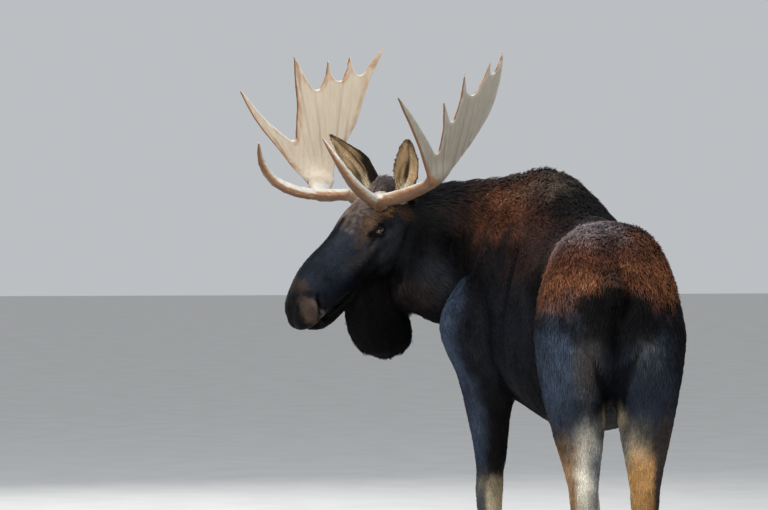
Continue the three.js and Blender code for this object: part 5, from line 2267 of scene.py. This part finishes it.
@dataclass
class Hooves:
    """The claws and dewclaws of the four feet, smoothed and ringed."""

    voxel: float = 0.0035
    ring_rise: float = 0.0005
    ring_pitch: float = 0.0085
    sole: Pair = (0.004, 0.012)  # heights over which rounding and rings set in

    def build(self, finish: Material) -> list[Obj]:
        """Builds one piece for each foot.

        Args:
            finish: The horn's material.

        Returns:
            The four pieces.
        """
        return [self.foot(leg, finish) for leg in LEGS]

    def foot(self, leg: str, finish: Material) -> Obj:
        """Builds one foot's claws.

        Args:
            leg: Name of the leg.
            finish: The horn's material.

        Returns:
            The piece.
        """
        nodes = [f"{part}_{leg}_{place}" for part in ("claw", "dewclaw") for place in ("outer", "inner")]
        foot = copy_of(nodes, f"hooves_{leg}", 0.0)
        remeshed(foot, self.voxel)
        sheet = Sheet(foot)
        clear = ramp(sheet.spots[:, 2], *self.sole)
        spots = sheet.diffuse(sheet.spots, 6, clear)
        ring = self.ring_rise * np.sin(spots[:, 2] / self.ring_pitch * 2 * math.pi)
        write_spots(foot, spots)
        outwards = Sheet(foot).normals * (1, 1, 0)
        write_spots(foot, spots + outwards * (ring * clear)[:, None])
        for polygon in foot.data.polygons:
            polygon.use_smooth = True
        foot.data.materials.append(finish)
        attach(foot, "root")
        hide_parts(*nodes)
        return foot


class Stretch(Enum):
    """A stretch of the coat that is one piece."""

    RUMP = 0
    HUMP = 1
    FLANK_LEFT = 2
    FLANK_RIGHT = 3
    NECK = 4
    HEAD = 5
    FORELEGS = 6
    HINDLEGS = 7
    BELL = 8


@dataclass(frozen=True)
class Patch:
    """The piece that covers a stretch, and how many tufts it has."""

    name: str
    count: int
    seed: int


PATCHES = {
    Stretch.RUMP: Patch("coat_rump", 19900, 1),
    Stretch.HUMP: Patch("coat_hump", 19900, 2),
    Stretch.FLANK_LEFT: Patch("coat_flank_left", 19900, 3),
    Stretch.FLANK_RIGHT: Patch("coat_flank_right", 15000, 4),
    Stretch.NECK: Patch("coat_neck", 15500, 5),
    Stretch.HEAD: Patch("coat_head", 17500, 6),
    Stretch.FORELEGS: Patch("coat_forelegs", 12500, 7),
    Stretch.HINDLEGS: Patch("coat_hindlegs", 15500, 8),
    Stretch.BELL: Patch("coat_bell", 6000, 9),
}
LEG_MIDDLES = {Stretch.FORELEGS: 1.33, Stretch.HINDLEGS: 0.16}  # their places along the spine


class Pelt:
    """The coat, grown in named stretches over the skin."""

    def __init__(self, coat: Coat, colours: Array) -> None:
        """Keeps the coat and its colours."""
        self.coat = coat
        self.colours = colours

    def stretches(self) -> Array:
        """The number of the stretch that each skin triangle belongs to; a later rule goes over an earlier one.

        Returns:
            The value of the stretch for each triangle.
        """
        coat = self.coat
        tris = coat.sheet.tris
        kinds = coat.kinds[tris[:, 0]]
        along = coat.along[tris].mean(1)
        aside = coat.aside[tris].mean(1)
        height = coat.sheet.spots[tris, 2].mean(1)
        trunk, legs = kinds == Kind.TRUNK.value, np.isin(kinds, LEG_KINDS)
        heads = (*HEAD_KINDS, Kind.EAR_LEFT.value, Kind.EAR_RIGHT.value)
        place = np.full(len(tris), Stretch.FLANK_LEFT.value)
        for stretch, chosen in (
            (Stretch.FLANK_RIGHT, aside < 0),
            (Stretch.HUMP, (height > 1.50) & (along > 0.50)),
            (Stretch.RUMP, (along < 0.62) & (height > 1.20)),
            (Stretch.HINDLEGS, (legs & (along < 0.75)) | (trunk & (along < 0.62) & (height <= 1.20))),
            (Stretch.FORELEGS, (legs & (along >= 0.75)) | (trunk & (along > 1.0) & (height < 1.02))),
            (Stretch.NECK, kinds == Kind.NECK.value),
            (Stretch.RUMP, kinds == Kind.TAIL.value),
            (Stretch.HEAD, np.isin(kinds, heads)),
            (Stretch.BELL, kinds == Kind.BELL.value),
        ):
            place[chosen] = stretch.value
        return place

    def chart(self, stretch: Stretch) -> Array:
        """An unwrap of the skin for one stretch: rolled off round the spine, a leg, the face or an ear.

        Args:
            stretch: The stretch.

        Returns:
            Place of each skin vertex in the unit square.
        """
        coat = self.coat
        spots = coat.sheet.spots
        if stretch in LEG_MIDDLES:
            right = coat.aside < 0
            side = np.where(right, -0.14, 0.14)
            turn = self.turn(coat.along - LEG_MIDDLES[stretch], coat.aside - side)
            flat = np.column_stack([turn * 0.48 + np.where(right, 0.52, 0.0), spots[:, 2]])
            return self.filled(flat, stretch, keep_across=True)
        if stretch is Stretch.BELL:
            face = coat.head.antler(spots)
            return self.filled(np.column_stack([self.turn(face[:, 1], face[:, 0] + 0.06), face[:, 2]]), stretch)
        if stretch is not Stretch.HEAD:
            return self.filled(np.column_stack([self.turn(spots[:, 2] - 1.25, coat.aside), coat.along]), stretch)
        face = coat.head.face(spots)
        flat = np.column_stack([self.turn(face[:, 2] + 0.12, face[:, 1]) * 0.7, (face[:, 0] + 0.15) / 0.80])
        for (kind, side), low in zip(EAR_KINDS, (0.0, 0.5)):
            chosen = coat.kinds == kind.value
            along, across, inside, _ = Ear.of(side).on(coat.sheet, chosen, coat.head)
            flat[chosen] = np.column_stack([0.72 + 0.27 * self.turn(inside - 0.5, across), low + 0.49 * along])
        return np.clip(flat, 0, 1)

    @staticmethod
    def turn(rise: Array, run: Array) -> Array:
        """The angle of each place round a middle line, as a share of a full turn."""
        return np.arctan2(rise, run) / (2 * math.pi) + 0.5

    def filled(self, flat: Array, stretch: Stretch, keep_across: bool = False) -> Array:
        """A chart stretched to fill the unit square with the stretch's own triangles.

        Args:
            flat: Place of each skin vertex.
            stretch: The stretch.
            keep_across: Whether the first number stays as it is.

        Returns:
            Places in the unit square.
        """
        tris = self.coat.sheet.tris[self.stretches() == stretch.value]
        used = flat[np.unique(tris)]
        low, high = used.min(0), used.max(0)
        if keep_across:
            low[0], high[0] = 0.0, 1.0
        return np.clip((flat - low) / np.maximum(high - low, 1e-6), 0, 1)

    def build(self, finish: Material) -> list[Obj]:
        """Grows every stretch.

        Args:
            finish: The hair's material.

        Returns:
            The coat pieces.
        """
        place = self.stretches()
        pieces = []
        share = 1.0
        for stretch, patch in PATCHES.items():
            chosen = np.where(place == stretch.value)[0]
            tufts = Tufts(patch.name, patch.seed)
            piece = tufts.grow(self.coat, self.colours, chosen, int(patch.count * share), self.chart(stretch))
            piece.data.materials.append(finish)
            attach(piece, "root")
            log.info("%s: %d tufts", patch.name, int(patch.count * share))
            pieces.append(piece)
        return pieces


# ---- stage -------------------------------------------------------------------------------------------


@dataclass(frozen=True)
class Lamp:
    """A round area light that faces the middle of the animal."""

    name: str
    place: Triple
    size: float
    power: float
    colour: Triple


LAMPS = (
    Lamp("key", (5.0, 5.5, 5.5), 4.0, 560.0, (0.93, 0.96, 1.0)),
    Lamp("fill", (-5.0, 6.5, 3.5), 7.0, 90.0, (1.0, 0.94, 0.86)),
    Lamp("top", (-0.5, 0.5, 6.5), 5.0, 330.0, (0.86, 0.92, 1.0)),
    Lamp("front", (1.0, -6.5, 4.5), 7.0, 220.0, (1.0, 0.97, 0.93)),
)


@dataclass
class Studio:
    """A pale floor, soft lights and the camera."""

    eye_point: Triple = (2.8372, 15.4385, 1.70)
    look: Triple = (-0.1611, -0.9880, -0.01205)
    lens: float = 182.8
    sensor: float = 36.0
    far: float = 200.0
    floor: float = 120.0
    floor_colours: tuple[Triple, Triple] = ((0.60, 0.60, 0.59), (0.64, 0.64, 0.63))
    sky: Triple = (0.93, 0.96, 1.0)
    sky_strength: float = 0.54
    lit: Triple = (0.0, 0.0, 1.2)  # what the lamps face

    def build(self) -> None:
        """Sets the stage up."""
        self.camera()
        self.ground()
        self.lights()

    def camera(self) -> None:
        """Places the camera behind the animal and a little to its left."""
        data = bpy.data.cameras.new("camera")
        data.sensor_width = self.sensor
        data.lens = self.lens
        data.clip_end = self.far
        camera = bpy.data.objects.new("camera", data)
        camera.location = self.eye_point
        camera.rotation_euler = Vector(self.look).to_track_quat("-Z", "Y").to_euler()
        bpy.context.collection.objects.link(camera)
        bpy.context.scene.camera = camera

    def ground(self) -> None:
        """Lays the floor."""
        bpy.ops.object.select_all(action="DESELECT")
        bpy.ops.mesh.primitive_plane_add(size=self.floor, location=(0, 0, 0))
        floor = bpy.context.active_object
        floor.name = "floor"
        material, nodes, shader = new_material("floor")
        where = nodes.add("ShaderNodeTexCoord").outputs["Object"]
        speck = nodes.mapped(nodes.noise(where, 3.0), (0.3, 0.7), (0.0, 1.0))
        nodes.join(nodes.mix(speck, *self.floor_colours), shader.inputs["Base Color"])
        shader.inputs["Roughness"].default_value = 0.9
        floor.data.materials.append(material)

    def lights(self) -> None:
        """Hangs a cool soft sky and broad area lights round the animal."""
        scene = bpy.context.scene
        scene.view_settings.view_transform = "Standard"
        world = bpy.data.worlds.new("studio")
        world.use_nodes = True
        background = world.node_tree.nodes["Background"]
        background.inputs["Color"].default_value = (*self.sky, 1.0)
        background.inputs["Strength"].default_value = self.sky_strength
        scene.world = world
        for lamp in LAMPS:
            data = bpy.data.lights.new(lamp.name, "AREA")
            data.shape, data.size, data.energy, data.color = "DISK", lamp.size, lamp.power, lamp.colour
            light = bpy.data.objects.new(lamp.name, data)
            light.location = lamp.place
            light.rotation_euler = (Vector(self.lit) - Vector(lamp.place)).to_track_quat("-Z", "Y").to_euler()
            bpy.context.collection.objects.link(light)


def main() -> None:
    """Builds the moose in order and reports each piece."""
    logging.basicConfig(level=logging.INFO, format="%(name)s: %(message)s", stream=sys.stdout)
    spine, head = Spine(), HeadFrame()
    Studio().build()
    group = hair_group()
    skin, sheet, kinds = Skin(spine, head).build()
    coat = Coat(sheet, kinds, spine, head)
    colours = Markings(spine, head).colours(sheet, kinds)
    write_colours(skin.data, "hair_colour", colours * SKIN_SHADE)
    skin.data.materials.append(HairFinish("skin", roughness=0.6, bump=0.5).make(group))
    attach(skin, "root")
    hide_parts(*flesh_nodes())
    log.info("skin: %d triangles", len(sheet.tris))
    Pelt(coat, colours).build(HairFinish("hair").make(group))
    antler_finish = AntlerFinish().make()
    eye_finish = EyeFinish().make()
    for side in ("left", "right"):
        antler = Antler(side, head).build(antler_finish)
        log.info("%s: %d faces", antler.name, len(antler.data.polygons))
        Eye(side, head).build(eye_finish)
    for foot in Hooves().build(HoofFinish().make()):
        log.info("%s: %d faces", foot.name, len(foot.data.polygons))


if __name__ == "__main__":
    main()
